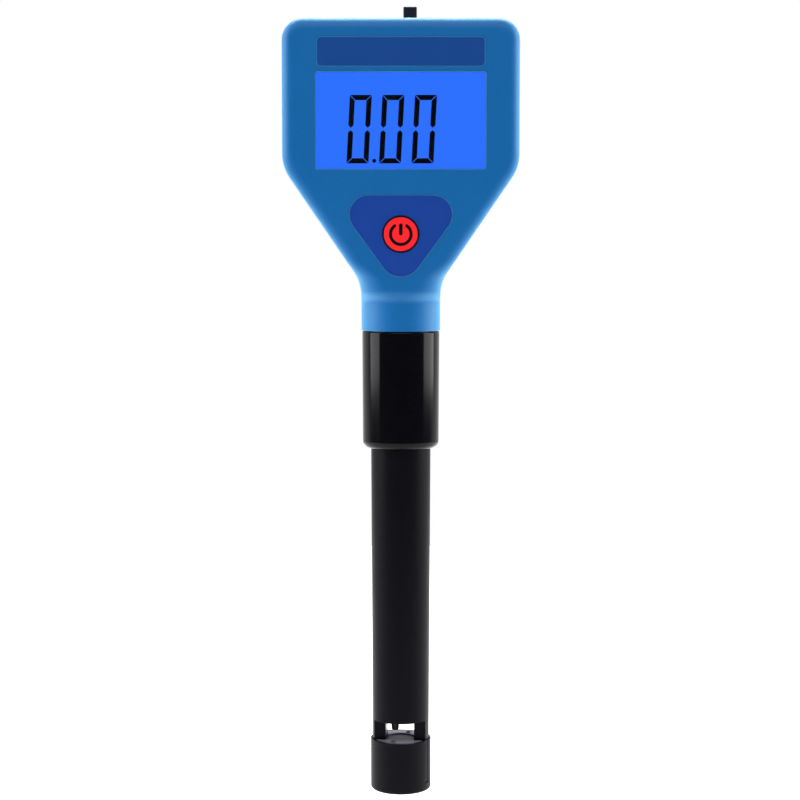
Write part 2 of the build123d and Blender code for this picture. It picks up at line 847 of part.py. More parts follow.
with BuildPart() as switch_can:
    with BuildSketch(Plane.XY.offset(switch_low)):
        with Locations((0, switch_y)):
            Rectangle(switch_length, switch_depth)
    extrude(amount=switch_height)
    with BuildSketch(Plane.XY.offset(switch_low)):
        with Locations((0, switch_y)):
            Rectangle(switch_bore_length, switch_bore_depth)
    extrude(amount=switch_height - switch_wall, mode=Mode.SUBTRACT)
    with BuildSketch(Plane.XY.offset(switch_low)):
        with Locations((0, switch_y)):
            Rectangle(slot_length, slot_depth)
    extrude(amount=switch_height, mode=Mode.SUBTRACT)
switch_can.part.label = "switch_can"
export_step(switch_can.part, "parts/switch_can.step")

with BuildPart() as switch_base:
    with BuildSketch(Plane.XY.offset(switch_low)):
        with Locations((0, switch_y)):
            Rectangle(switch_bore_length - 2 * contact_clearance, switch_bore_depth - 2 * contact_clearance)
    extrude(amount=switch_base_height)
    with BuildSketch(Plane.XY.offset(switch_low)):
        with Locations((0, switch_y)):
            with GridLocations(terminal_pitch, 0, 3, 1):
                Rectangle(terminal_width, contact_thickness)
    extrude(amount=-terminal_drop)
    with BuildSketch(Plane.XY.offset(switch_low - terminal_drop)):
        with Locations((0, board_back_y)):
            with GridLocations(terminal_pitch, 0, 3, 1):
                Rectangle(terminal_width, switch_depth / 2 + contact_thickness / 2,
                          align=(Align.CENTER, Align.MIN))
    extrude(amount=contact_thickness)
switch_base.part.label = "switch_base"
export_step(switch_base.part, "parts/switch_base.step")

with BuildPart() as switch_knob:
    with BuildSketch(Plane.XY.offset(knob_foot_low)):
        with Locations((knob_offset, switch_y)):
            Rectangle(knob_width, knob_depth)
    extrude(amount=head_top + knob_lift - knob_foot_low)
    knob_rims = switch_knob.edges().filter_by(Axis.Z) + switch_knob.edges().group_by(Axis.Z)[-1]
    fillet(knob_rims, knob_edge_radius)
    with BuildSketch(Plane.XY.offset(knob_foot_low)):
        with Locations((knob_offset, switch_y)):
            Rectangle(knob_foot_length, switch_bore_depth - 2 * slot_clearance)
    extrude(amount=knob_foot_high - knob_foot_low)
switch_knob.part.label = "switch_knob"
export_step(switch_knob.part, "parts/switch_knob.step")

# Batteries and their contacts

cell_start = contact_thickness - bay_length / 2

for index in range(cell_count):
    cell_x = cell_start + index * cell_length
    with BuildPart() as battery_cell:
        with BuildSketch(Plane.YZ.offset(cell_x)):
            with Locations((cell_y, bay_z)):
                Circle(cell_radius)
        extrude(amount=cell_length - cell_cap_height)
        chamfer(battery_cell.edges(), cell_edge_chamfer)
        with BuildSketch(Plane.YZ.offset(cell_x + cell_length - cell_cap_height)):
            with Locations((cell_y, bay_z)):
                Circle(cell_cap_radius)
        extrude(amount=cell_cap_height)
    battery_cell.part.label = f"battery_cell_{index + 1}"
    export_step(battery_cell.part, f"parts/battery_cell_{index + 1}.step")

with BuildPart() as contact_plate:
    with BuildSketch(Plane.YZ.offset(-bay_length / 2)):
        with Locations((cell_y, bay_z)):
            Rectangle(cell_diameter * contact_share, cell_diameter * contact_share)
        with Locations((board_back_y, bay_z)):
            Rectangle(cell_y - board_back_y, bay_half_height, align=(Align.MIN, Align.CENTER))
    extrude(amount=contact_thickness)
contact_plate.part.label = "contact_plate"
export_step(contact_plate.part, "parts/contact_plate.step")

leaf_back_x = bay_length / 2 - contact_thickness / 2
leaf_tip_x = bay_length / 2 - leaf_depth + contact_thickness
leaf_high_y = cell_y + cell_diameter * contact_share / 2

with BuildPart() as contact_leaf:
    with BuildSketch(Plane.XY.offset(bay_z - bay_half_height / 2)):
        with BuildLine() as leaf_line:
            FilletPolyline(
                (leaf_back_x, board_back_y),
                (leaf_back_x, leaf_high_y),
                (leaf_tip_x, cell_y),
                (leaf_back_x - 2 * contact_thickness, cell_y - cell_radius / 2),
                radius=contact_thickness,
            )
        trace(line_width=contact_thickness)
    extrude(amount=bay_half_height)
contact_leaf.part.label = "contact_leaf"
export_step(contact_leaf.part, "parts/contact_leaf.step")

# Battery door

with BuildPart() as battery_door:
    with BuildSketch(facing(head_rear)):
        with Locations((0, hinge_z)):
            Rectangle(door_width, door_high - hinge_z, align=(Align.CENTER, Align.MIN))
    extrude(amount=door_thickness)
    with BuildSketch(Plane.YZ.offset(-door_width / 2)):
        with Locations((hinge_y, hinge_z)):
            Circle(door_knuckle_radius)
    extrude(amount=door_width)
    with BuildSketch(Plane.YZ.offset(-door_width / 2 - hinge_pin_length)):
        with Locations((hinge_y, hinge_z)):
            Circle(hinge_pin_radius)
    extrude(amount=door_width + 2 * hinge_pin_length)
    with BuildSketch(facing(door_inner_y)):
        with Locations((0, door_high - latch_thickness - 2 * door_gap)):
            Rectangle(latch_width, latch_thickness)
    extrude(amount=latch_reach)
    with BuildSketch(facing(door_inner_y)):
        with Locations((0, bay_z)):
            with GridLocations(cell_length * 2, 0, 2, 1):
                Rectangle(bay_floor, cell_radius)
    extrude(amount=door_inner_y - cell_y - cell_radius - contact_clearance)
battery_door.part.label = "battery_door"
export_step(battery_door.part, "parts/battery_door.step")

# Case screws

with BuildPart() as case_screws:
    with BuildSketch(facing(screw_seat)):
        with Locations(screw_spots):
            Circle(screw_radius)
    extrude(amount=screw_seat - board_front_y + screw_bite)
    with BuildSketch(facing(screw_seat)):
        with Locations(screw_spots):
            Circle(screw_head_radius)
    extrude(amount=-screw_head_height)
    fillet(case_screws.edges().group_by(Axis.Y)[-1], screw_head_height / 2)
case_screws.part.label = "case_screws"
export_step(case_screws.part, "parts/case_screws.step")

# Probe socket, its pins and the leads up to the board

with BuildPart() as probe_socket:
    with BuildSketch(Plane.XZ):
        with BuildLine():
            Polyline(
                (0, socket_top),
                (socket_radius, socket_top),
                (socket_radius, flange_high),
                (socket_flange_radius, flange_high),
                (socket_flange_radius, flange_low),
                (socket_radius, flange_low),
                (socket_radius, neck_bottom),
                (nipple_radius, neck_bottom),
                (nipple_radius, nipple_low + nipple_chamfer),
                (nipple_radius - nipple_chamfer, nipple_low),
                (socket_bore_radius, nipple_low),
                (socket_bore_radius, socket_floor),
                (0, socket_floor),
                close=True,
            )
        make_face()
    revolve(axis=Axis.Z)
    with BuildSketch(Plane.XY.offset(nipple_low)):
        Rectangle(key_width + 2 * spigot_clearance, spigot_radius + key_height + spigot_clearance,
                  align=(Align.CENTER, Align.MIN))
    extrude(amount=socket_floor - nipple_low, mode=Mode.SUBTRACT)
    with BuildSketch(Plane.XY.offset(socket_floor)):
        with PolarLocations(pin_circle_radius, pin_count, start_angle=45):
            Circle(pin_radius + contact_clearance)
    extrude(amount=socket_floor_thickness, mode=Mode.SUBTRACT)
probe_socket.part.label = "probe_socket"
export_step(probe_socket.part, "parts/probe_socket.step")

with BuildPart() as socket_pins:
    with BuildSketch(Plane.XY.offset(pin_low)):
        with PolarLocations(pin_circle_radius, pin_count, start_angle=45):
            Circle(pin_radius)
    extrude(amount=pin_high - pin_low)
    chamfer(socket_pins.edges().group_by(Axis.Z)[0], pin_radius / 2)
socket_pins.part.label = "socket_pins"
export_step(socket_pins.part, "parts/socket_pins.step")

pin_side = pin_circle_radius / sqrt(2)
lead_places = [
    (pin_side, pin_side, lead_near_x, lead_high_rise),
    (-pin_side, pin_side, -lead_near_x, lead_high_rise),
    (pin_side, -pin_side, lead_far_x, lead_low_rise),
    (-pin_side, -pin_side, -lead_far_x, lead_low_rise),
]

for index, (pin_x, pin_y, pad_x, pad_rise) in enumerate(lead_places):
    with BuildPart() as head_lead:
        with BuildLine() as lead_path:
            FilletPolyline(
                (pin_x, pin_y, pin_high),
                (pin_x, pin_y, pin_high + lead_straight),
                (pad_x, lead_back_y, pin_high + lead_straight + lead_cross_rise),
                (pad_x, lead_back_y, pin_high + pad_rise),
                (pad_x, board_back_y, pin_high + pad_rise),
                radius=lead_bend_radius,
            )
        with BuildSketch(Plane.XY.offset(pin_high)):
            with Locations((pin_x, pin_y)):
                Circle(lead_radius)
        sweep(path=lead_path.wires()[0])
    head_lead.part.label = f"head_lead_{index + 1}"
    export_step(head_lead.part, f"parts/head_lead_{index + 1}.step")

# Locking sleeve

with BuildPart() as locking_sleeve:
    with BuildSketch(Plane.XZ):
        with BuildLine():
            Polyline(
                (nipple_radius + thread_clearance, sleeve_top),
                (sleeve_top_radius, sleeve_top),
                (sleeve_bottom_radius, sleeve_bottom),
                (tube_top_radius + sleeve_guide_clearance, sleeve_bottom),
                (tube_top_radius + sleeve_guide_clearance, sleeve_lip),
                (nipple_radius + thread_clearance, sleeve_lip),
                close=True,
            )
        make_face()
    revolve(axis=Axis.Z)
    fillet(locking_sleeve.edges().group_by(Axis.Z)[0].sort_by(SortBy.RADIUS)[-1], sleeve_foot_rounding)
    fillet(locking_sleeve.edges().group_by(Axis.Z)[-1].sort_by(SortBy.RADIUS)[-1], sleeve_head_rounding)
locking_sleeve.part.label = "locking_sleeve"
export_step(locking_sleeve.part, "parts/locking_sleeve.step")

# Probe plug with its contacts and face seal

with BuildPart() as probe_plug:
    with BuildSketch(Plane.XZ):
        with BuildLine():
            Polyline(
                (0, spigot_top),
                (spigot_radius, spigot_top),
                (spigot_radius, plug_flange_high),
                (nipple_radius, plug_flange_high),
                (nipple_radius, plug_flange_low),
                (tube_bore_radius - glue_gap, plug_flange_low),
                (tube_bore_radius - glue_gap, plug_low),
                (0, plug_low),
                close=True,
            )
        make_face()
    revolve(axis=Axis.Z)
    with BuildSketch(Plane.XY.offset(nipple_low + seal_section)):
        Rectangle(key_width, spigot_radius + key_height - spigot_clearance,
                  align=(Align.CENTER, Align.MIN))
    extrude(amount=spigot_top - nipple_low - seal_section)
    with BuildSketch(Plane.XY.offset(contact_low)):
        with PolarLocations(pin_circle_radius, pin_count, start_angle=45):
            Circle(contact_radius + contact_clearance)
    extrude(amount=spigot_top - contact_low, mode=Mode.SUBTRACT)
    with BuildSketch(Plane.XY.offset(plug_low)):
        with PolarLocations(pin_circle_radius, pin_count, start_angle=45):
            Circle(probe_wire_radius + contact_clearance)
    extrude(amount=contact_low - plug_low, mode=Mode.SUBTRACT)
probe_plug.part.label = "probe_plug"
export_step(probe_plug.part, "parts/probe_plug.step")

with BuildPart() as plug_contacts:
    with BuildSketch(Plane.XY.offset(contact_low)):
        with PolarLocations(pin_circle_radius, pin_count, start_angle=45):
            Circle(contact_radius)
    extrude(amount=spigot_top - contact_low)
    with BuildSketch(Plane.XY.offset(contact_floor)):
        with PolarLocations(pin_circle_radius, pin_count, start_angle=45):
            Circle(pin_radius + contact_clearance)
    extrude(amount=spigot_top - contact_floor, mode=Mode.SUBTRACT)
plug_contacts.part.label = "plug_contacts"
export_step(plug_contacts.part, "parts/plug_contacts.step")

with BuildPart() as face_seal:
    with BuildSketch(Plane.XZ):
        with Locations(((spigot_radius + nipple_radius - nipple_chamfer) / 2,
                        plug_flange_high + seal_section / 2)):
            Circle(seal_section / 2)
    revolve(axis=Axis.Z)
face_seal.part.label = "face_seal"
export_step(face_seal.part, "parts/face_seal.step")

# Probe tube with the two legs of the measuring cell

with BuildPart() as probe_tube:
    with BuildSketch(Plane.XZ):
        with BuildLine():
            Polyline(
                (tube_bore_radius, tube_top),
                (tube_top_radius, tube_top),
                (tube_top_radius, sleeve_bottom),
                (tube_end_radius, tube_end),
                (0, tube_end),
                (0, insert_low),
                (tube_bore_radius, insert_low),
                close=True,
            )
        make_face()
    revolve(axis=Axis.Z)
    with BuildSketch(cell_plane(leg_shoulder)):
        add(leg_face(tube_end_radius, leg_half_gap, leg_half_depth))
    extrude(amount=tube_end - leg_shoulder)
    with BuildSketch(cell_plane(leg_foot_clearance)):
        add(leg_face(leg_foot_radius, leg_half_gap, leg_half_depth))
    extrude(amount=leg_shoulder - leg_foot_clearance)
    with BuildSketch(cell_plane(leg_foot_clearance)):
        with PolarLocations(leg_foot_radius - rib_width, 2, start_angle=rib_angle - 90):
            Rectangle(cap_radius - 2 * cap_clearance - leg_foot_radius + rib_width, rib_width,
                      align=(Align.MIN, Align.CENTER))
    extrude(amount=leg_shoulder - leg_foot_clearance)
    with BuildSketch(cell_plane(electrode_low)):
        with Locations((leg_half_gap, 0), (-leg_half_gap, 0)):
            Rectangle(2 * (electrode_thickness + contact_clearance),
                      2 * (electrode_half_width + contact_clearance))
    extrude(amount=insert_low - electrode_low, mode=Mode.SUBTRACT)
    with BuildSketch(cell_plane(tube_end)):
        with Locations((-finger_offset, 0)):
            Circle(finger_radius + contact_clearance)
    extrude(amount=end_plate_thickness, mode=Mode.SUBTRACT)
probe_tube.part.label = "probe_tube"
export_step(probe_tube.part, "parts/probe_tube.step")

lead_level = insert_high + lead_stub

with BuildPart() as cell_insert:
    with BuildSketch(cell_plane(insert_low)):
        Circle(tube_bore_radius - glue_gap)
        with Locations((leg_half_gap + electrode_thickness / 2, 0),
                       (-leg_half_gap - electrode_thickness / 2, 0)):
            Rectangle(electrode_thickness + 2 * contact_clearance,
                      2 * (electrode_half_width + contact_clearance), mode=Mode.SUBTRACT)
        with Locations((-finger_offset, 0)):
            Circle(finger_radius + contact_clearance, mode=Mode.SUBTRACT)
    extrude(amount=insert_height)
cell_insert.part.label = "cell_insert"
export_step(cell_insert.part, "parts/cell_insert.step")

for side, name in ((-1, "electrode_left"), (1, "electrode_right")):
    with BuildPart() as electrode:
        with BuildSketch(cell_plane(electrode_low + contact_clearance)):
            with Locations((side * (leg_half_gap + electrode_thickness / 2), 0)):
                Rectangle(electrode_thickness, 2 * electrode_half_width)
        extrude(amount=lead_level - electrode_low - contact_clearance)
    electrode.part.label = name
    export_step(electrode.part, f"parts/{name}.step")

finger_tip = tube_end - finger_length
finger_x = -finger_offset * cos(radians(cell_turn))
finger_y = -finger_offset * sin(radians(cell_turn))

with BuildPart() as temperature_finger:
    with BuildSketch(Plane(origin=(finger_x, finger_y, 0), x_dir=(1, 0, 0), z_dir=(0, -1, 0))):
        with BuildLine():
            Polyline(
                (0, finger_tip),
                (0, lead_level),
                (finger_radius, lead_level),
                (finger_radius, tube_end),
                (finger_tip_radius, finger_tip + finger_tip_radius),
            )
            RadiusArc((finger_tip_radius, finger_tip + finger_tip_radius), (0, finger_tip),
                      finger_tip_radius)
        make_face()
    revolve(axis=Axis((finger_x, finger_y, 0), (0, 0, 1)))
temperature_finger.part.label = "temperature_finger"
export_step(temperature_finger.part, "parts/temperature_finger.step")

# Wires inside the tube, from the cell up to the plug's contacts

electrode_x = (leg_half_gap + electrode_thickness / 2) * cos(radians(cell_turn))
electrode_y = (leg_half_gap + electrode_thickness / 2) * sin(radians(cell_turn))
finger_half = finger_radius / 2
wire_places = [
    (electrode_x, electrode_y, pin_side, -pin_side),
    (-electrode_x, -electrode_y, -pin_side, pin_side),
    (finger_x, finger_y - finger_half, -pin_side, -pin_side),
    (finger_x, finger_y + finger_half, pin_side, pin_side),
]

for index, (foot_x, foot_y, pin_x, pin_y) in enumerate(wire_places):
    with BuildPart() as probe_wire:
        with BuildLine() as wire_path:
            FilletPolyline(
                (foot_x, foot_y, lead_level),
                (foot_x, foot_y, lead_level + wire_straight),
                (pin_x, pin_y, lead_level + wire_straight + wire_cross_rise),
                (pin_x, pin_y, contact_low),
                radius=probe_wire_bend,
            )
        with BuildSketch(Plane.XY.offset(lead_level)):
            with Locations((foot_x, foot_y)):
                Circle(probe_wire_radius)
        sweep(path=wire_path.wires()[0])
    probe_wire.part.label = f"probe_wire_{index + 1}"
    export_step(probe_wire.part, f"parts/probe_wire_{index + 1}.step")

# Foot cap and the disc that closes it

cap_bore = cap_radius - cap_wall
across_slits = radians(rib_angle + cell_turn)
cap_section = Plane(origin=(0, 0, 0), x_dir=(cos(across_slits), sin(across_slits), 0),
                    z_dir=(sin(across_slits), -cos(across_slits), 0))
slit_low = leg_foot_clearance - 2 * leg_clearance

with BuildPart() as foot_cap:
    with BuildSketch(cap_section):
        with BuildLine():
            Polyline(
                (0, 0),
                (cap_radius, 0),
                (cap_radius, foot_cap_height),
                (cap_rebate_radius, foot_cap_height),
                (cap_rebate_radius, disc_low),
                (cap_bore, disc_low),
                (cap_bore, cap_floor),
                (0, cap_floor),
                close=True,
            )
        make_face()
    revolve(axis=Axis.Z)
    fillet(foot_cap.edges().group_by(Axis.Z)[0], cap_edge_radius)
    with BuildSketch(cell_plane(slit_low)):
        with PolarLocations(cap_bore - cap_wall, 2, start_angle=rib_angle - 90):
            Rectangle(3 * cap_wall, rib_width + leg_clearance, align=(Align.MIN, Align.CENTER))
    extrude(amount=foot_cap_height - slit_low, mode=Mode.SUBTRACT)
foot_cap.part.label = "foot_cap"
export_step(foot_cap.part, "parts/foot_cap.step")

with BuildPart() as cap_disc:
    with BuildSketch(cell_plane(disc_low)):
        Circle(cap_rebate_radius - cap_clearance)
        add(leg_face(cap_radius, leg_half_gap - leg_clearance, leg_half_depth + leg_clearance),
            mode=Mode.SUBTRACT)
        with PolarLocations(cap_bore - 2 * cap_wall, 2, start_angle=rib_angle - 90):
            Rectangle(3 * cap_wall, rib_width + 2 * leg_clearance, align=(Align.MIN, Align.CENTER),
                      mode=Mode.SUBTRACT)
        with PolarLocations(drain_circle, 2, start_angle=-90 - drain_angle):
            Rectangle(drain_length, drain_width, mode=Mode.SUBTRACT)
    extrude(amount=disc_thickness)
    with BuildSketch(cell_plane(foot_cap_height)):
        Circle(disc_pocket_radius)
    extrude(amount=-disc_pocket_depth, mode=Mode.SUBTRACT)
cap_disc.part.label = "cap_disc"
export_step(cap_disc.part, "parts/cap_disc.step")
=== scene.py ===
"""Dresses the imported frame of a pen-shaped water quality tester and stages it for its picture.

Sizes in the classes are millimetres in the part's own frame: Z runs up the probe's axis, the
display faces -Y and the origin is the middle of the foot. MM turns them into metres.
"""
import logging
import math
from dataclasses import dataclass
from enum import Enum

import bmesh
import bpy
import numpy as np
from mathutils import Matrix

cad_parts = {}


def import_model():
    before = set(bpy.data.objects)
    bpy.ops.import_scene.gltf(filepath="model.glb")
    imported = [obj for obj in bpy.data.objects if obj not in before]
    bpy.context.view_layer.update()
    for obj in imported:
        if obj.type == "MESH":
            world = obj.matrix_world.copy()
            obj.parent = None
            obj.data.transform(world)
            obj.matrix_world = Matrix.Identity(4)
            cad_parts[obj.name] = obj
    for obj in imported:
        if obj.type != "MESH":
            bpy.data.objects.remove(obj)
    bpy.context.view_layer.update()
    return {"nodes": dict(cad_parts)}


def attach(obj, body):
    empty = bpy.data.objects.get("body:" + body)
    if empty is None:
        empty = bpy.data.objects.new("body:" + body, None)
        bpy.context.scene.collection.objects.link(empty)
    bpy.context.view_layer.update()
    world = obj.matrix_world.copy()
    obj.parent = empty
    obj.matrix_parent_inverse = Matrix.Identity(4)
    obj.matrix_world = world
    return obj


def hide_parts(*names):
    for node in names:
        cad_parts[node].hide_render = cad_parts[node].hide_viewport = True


LOG = logging.getLogger("tester")
MM = 0.001
CREASE = 32.0
MERGE_DISTANCE = 1e-7

Colour = tuple[float, float, float, float]


def paint(red: int, green: int, blue: int) -> Colour:
    """Turns a screen colour into the linear colour that a shader takes.

    Args:
        red: Red from 0 to 255.
        green: Green from 0 to 255.
        blue: Blue from 0 to 255.

    Returns:
        The linear colour with an alpha of 1.
    """
    screen = np.array([red, green, blue], float) / 255.0
    low = screen / 12.92
    high = ((screen + 0.055) / 1.055) ** 2.4
    channels = np.where(screen <= 0.04045, low, high)
    return (float(channels[0]), float(channels[1]), float(channels[2]), 1.0)


class Axis(Enum):
    """The direction that a turned piece's own axis takes in the part's frame."""

    UP = ((1.0, 0.0, 0.0), (0.0, 1.0, 0.0), (0.0, 0.0, 1.0))
    BACK = ((0.0, 0.0, 1.0), (1.0, 0.0, 0.0), (0.0, 1.0, 0.0))


# Meshes


def grid_faces(rows: int, columns: int, close_rows: bool, close_columns: bool) -> np.ndarray:
    """Numbers the four corners of each face of a grid of points.

    A face runs along the columns first and then up the rows, so with columns going round an
    upright axis anticlockwise and rows going up, the faces point away from the axis.

    Args:
        rows: Number of rows of points.
        columns: Number of points in a row.
        close_rows: Whether the last row joins the first.
        close_columns: Whether the last column joins the first.

    Returns:
        One row of four point numbers for each face.
    """
    row = np.arange(rows if close_rows else rows - 1)[:, None]
    column = np.arange(columns if close_columns else columns - 1)[None, :]
    above = (row + 1) % rows
    beside = (column + 1) % columns
    row, column, above, beside = np.broadcast_arrays(row, column, above, beside)
    corners = np.stack(
        [
            row * columns + column,
            row * columns + beside,
            above * columns + beside,
            above * columns + column,
        ],
        axis=-1,
    )
    return corners.reshape(-1, 4)


def make_piece(
    name: str,
    points: np.ndarray,
    faces: list[list[int]] | np.ndarray,
    crease: float = CREASE,
) -> bpy.types.Object:
    """Makes a mesh piece in the scene from points in millimetres.

    Points that meet, as at a pole or a seam, are merged, faces without area go, and edges that
    turn by more than the crease angle stay sharp in a mesh that is otherwise shaded smooth.

    Args:
        name: Name of the piece.
        points: Array of points, three numbers each.
        faces: Point numbers of each face.
        crease: Angle in degrees past which an edge is sharp.

    Returns:
        The new object, at the origin.
    """
    mesh = bpy.data.meshes.new(name)
    listed = faces.tolist() if isinstance(faces, np.ndarray) else faces
    mesh.from_pydata((points.reshape(-1, 3) * MM).tolist(), [], listed)
    body = bmesh.new()
    body.from_mesh(mesh)
    bmesh.ops.remove_doubles(body, verts=body.verts, dist=MERGE_DISTANCE)
    bmesh.ops.dissolve_degenerate(body, edges=body.edges, dist=MERGE_DISTANCE / 10)
    body.to_mesh(mesh)
    body.free()
    mesh.shade_smooth()
    mesh.set_sharp_from_angle(angle=math.radians(crease))
    piece = bpy.data.objects.new(name, mesh)
    bpy.context.scene.collection.objects.link(piece)
    return piece


def rounded_profile(corners: list[tuple[float, float, float]], steps: int = 6) -> np.ndarray:
    """Rounds the corners of a profile.

    Each corner point is replaced by a quadratic curve from one setback point to the other, with
    the corner as its control point: P(t) = (1-t)^2 A + 2t(1-t) C + t^2 B.

    Args:
        corners: Radius, height and setback of each corner, in order.
        steps: Number of spans in each rounded corner.

    Returns:
        Array of radius and height pairs.
    """
    places = np.array([(radius, height) for radius, height, _ in corners])
    share = np.linspace(0.0, 1.0, steps + 1)[:, None]
    parts = [places[:1]]
    for index in range(1, len(corners) - 1):
        setback = corners[index][2]
        here = places[index]
        if setback == 0.0:
            parts.append(here[None, :])
            continue
        before = places[index - 1] - here
        after = places[index + 1] - here
        start = here + before / np.linalg.norm(before) * setback
        stop = here + after / np.linalg.norm(after) * setback
        parts.append((1 - share) ** 2 * start + 2 * share * (1 - share) * here + share**2 * stop)
    parts.append(places[-1:])
    return np.concatenate(parts)


def turned(
    profile: np.ndarray,
    segments: int,
    origin: tuple[float, float, float] = (0.0, 0.0, 0.0),
    axis: Axis = Axis.UP,
) -> np.ndarray:
    """Turns a profile about an axis: P(s, a) = O + r(s) cos a X + r(s) sin a Y + h(s) Z.

    Args:
        profile: Array of radius and height pairs, going up on the outside.
        segments: Number of points round the axis.
        origin: A point on the axis.
        axis: The axis's direction.

    Returns:
        Grid of points, one row for each profile point.
    """
    angle = np.linspace(0.0, 2 * math.pi, segments, endpoint=False)
    radius = profile[:, :1]
    height = np.broadcast_to(profile[:, 1:], (len(profile), segments))
    local = np.stack([radius * np.cos(angle), radius * np.sin(angle), height], axis=-1)
    return placed(local, origin, axis)


def placed(local: np.ndarray, origin: tuple[float, float, float], axis: Axis) -> np.ndarray:
    """Carries points from a piece's own axes to the part's frame.

    Args:
        local: Array of points with the piece's axis along the third number.
        origin: Where the piece's origin goes.
        axis: Where the piece's axis points.

    Returns:
        The points in the part's frame.
    """
    across, along, up = (np.array(direction) for direction in axis.value)
    return (
        np.array(origin)
        + local[..., 0:1] * across
        + local[..., 1:2] * along
        + local[..., 2:3] * up
    )


def turned_piece(
    name: str,
    profile: np.ndarray,
    segments: int = 96,
    origin: tuple[float, float, float] = (0.0, 0.0, 0.0),
    axis: Axis = Axis.UP,
) -> bpy.types.Object:
    """Makes a piece by turning a profile.

    Args:
        name: Name of the piece.
        profile: Array of radius and height pairs, going up on the outside.
        segments: Number of points round the axis.
        origin: A point on the axis.
        axis: The axis's direction.

    Returns:
        The new object.
    """
    grid = turned(profile, segments, origin, axis)
    return make_piece(name, grid, grid_faces(len(profile), segments, False, True))


def flat_plates(
    name: str, outlines: list[np.ndarray], front: float, thickness: float
) -> bpy.types.Object:
    """Makes thin plates that stand upright and face the front.

    Each outline is a closed run of points in X and Z, anticlockwise as the viewer sees it. The
    front is the outline at depth y, the back is the same outline further in, and a band of
    quads joins them.

    Args:
        name: Name of the piece.
        outlines: One array of X and Z pairs for each plate.
        front: Depth y of the front.
        thickness: Thickness of the plates.

    Returns:
        The new object.
    """
    points: list[np.ndarray] = []
    faces: list[list[int]] = []
    first = 0
    for outline in outlines:
        count = len(outline)
        for depth in (front, front + thickness):
            points.append(np.column_stack([outline[:, 0], np.full(count, depth), outline[:, 1]]))
        ring = np.arange(count)
        after = (ring + 1) % count
        faces.append((first + ring).tolist())
        faces.append((first + count + ring[::-1]).tolist())
        band = np.stack([ring + count, after + count, after, ring], axis=-1) + first
        faces.extend(band.tolist())
        first += 2 * count
    return make_piece(name, np.concatenate(points), faces)


# Node groups that several finishes share


@dataclass
class Sheet:
    """A node tree with short ways to add and join nodes."""

    tree: bpy.types.NodeTree

    def add(self, kind: str, **values: object) -> bpy.types.Node:
        """Adds a node.

        Args:
            kind: The node's type name.
            **values: Properties of the node.

        Returns:
            The new node.
        """
        node = self.tree.nodes.new(kind)
        for key, value in values.items():
            setattr(node, key, value)
        return node

    def join(self, start: bpy.types.NodeSocket, end: bpy.types.NodeSocket) -> None:
        """Joins an output socket to an input socket."""
        self.tree.links.new(start, end)

    def math(
        self,
        operation: str,
        first: bpy.types.NodeSocket | float,
        second: bpy.types.NodeSocket | float = 0.0,
        clamp: bool = False,
    ) -> bpy.types.NodeSocket:
        """Adds a Math node on two sockets or numbers and returns its output."""
        node = self.add("ShaderNodeMath", operation=operation, use_clamp=clamp)
        for index, value in enumerate((first, second)):
            if isinstance(value, (int, float)):
                node.inputs[index].default_value = value
            else:
                self.join(value, node.inputs[index])
        return node.outputs[0]

    def noise(
        self, vector: bpy.types.NodeSocket, scale: bpy.types.NodeSocket | float, detail: float
    ) -> bpy.types.NodeSocket:
        """Adds a noise texture and returns its value."""
        node = self.add("ShaderNodeTexNoise")
        self.join(vector, node.inputs["Vector"])
        if isinstance(scale, (int, float)):
            node.inputs["Scale"].default_value = scale
        else:
            self.join(scale, node.inputs["Scale"])
        node.inputs["Detail"].default_value = detail
        return node.outputs["Fac"]


def open_group(
    name: str, inputs: dict[str, tuple[str, float]], outputs: list[str]
) -> tuple[Sheet, bpy.types.Node, bpy.types.Node]:
    """Starts a shader node group with named sockets.

    Args:
        name: Name of the group.
        inputs: Socket type and default of each input, by name.
        outputs: Names of the value outputs.

    Returns:
        The group's sheet, its input node and its output node.
    """
    tree = bpy.data.node_groups.new(name, "ShaderNodeTree")
    for title, (kind, default) in inputs.items():
        socket = tree.interface.new_socket(name=title, in_out="INPUT", socket_type=kind)
        if kind == "NodeSocketFloat":
            socket.default_value = default
    for title in outputs:
        tree.interface.new_socket(name=title, in_out="OUTPUT", socket_type="NodeSocketFloat")
    sheet = Sheet(tree)
    return sheet, sheet.add("NodeGroupInput"), sheet.add("NodeGroupOutput")


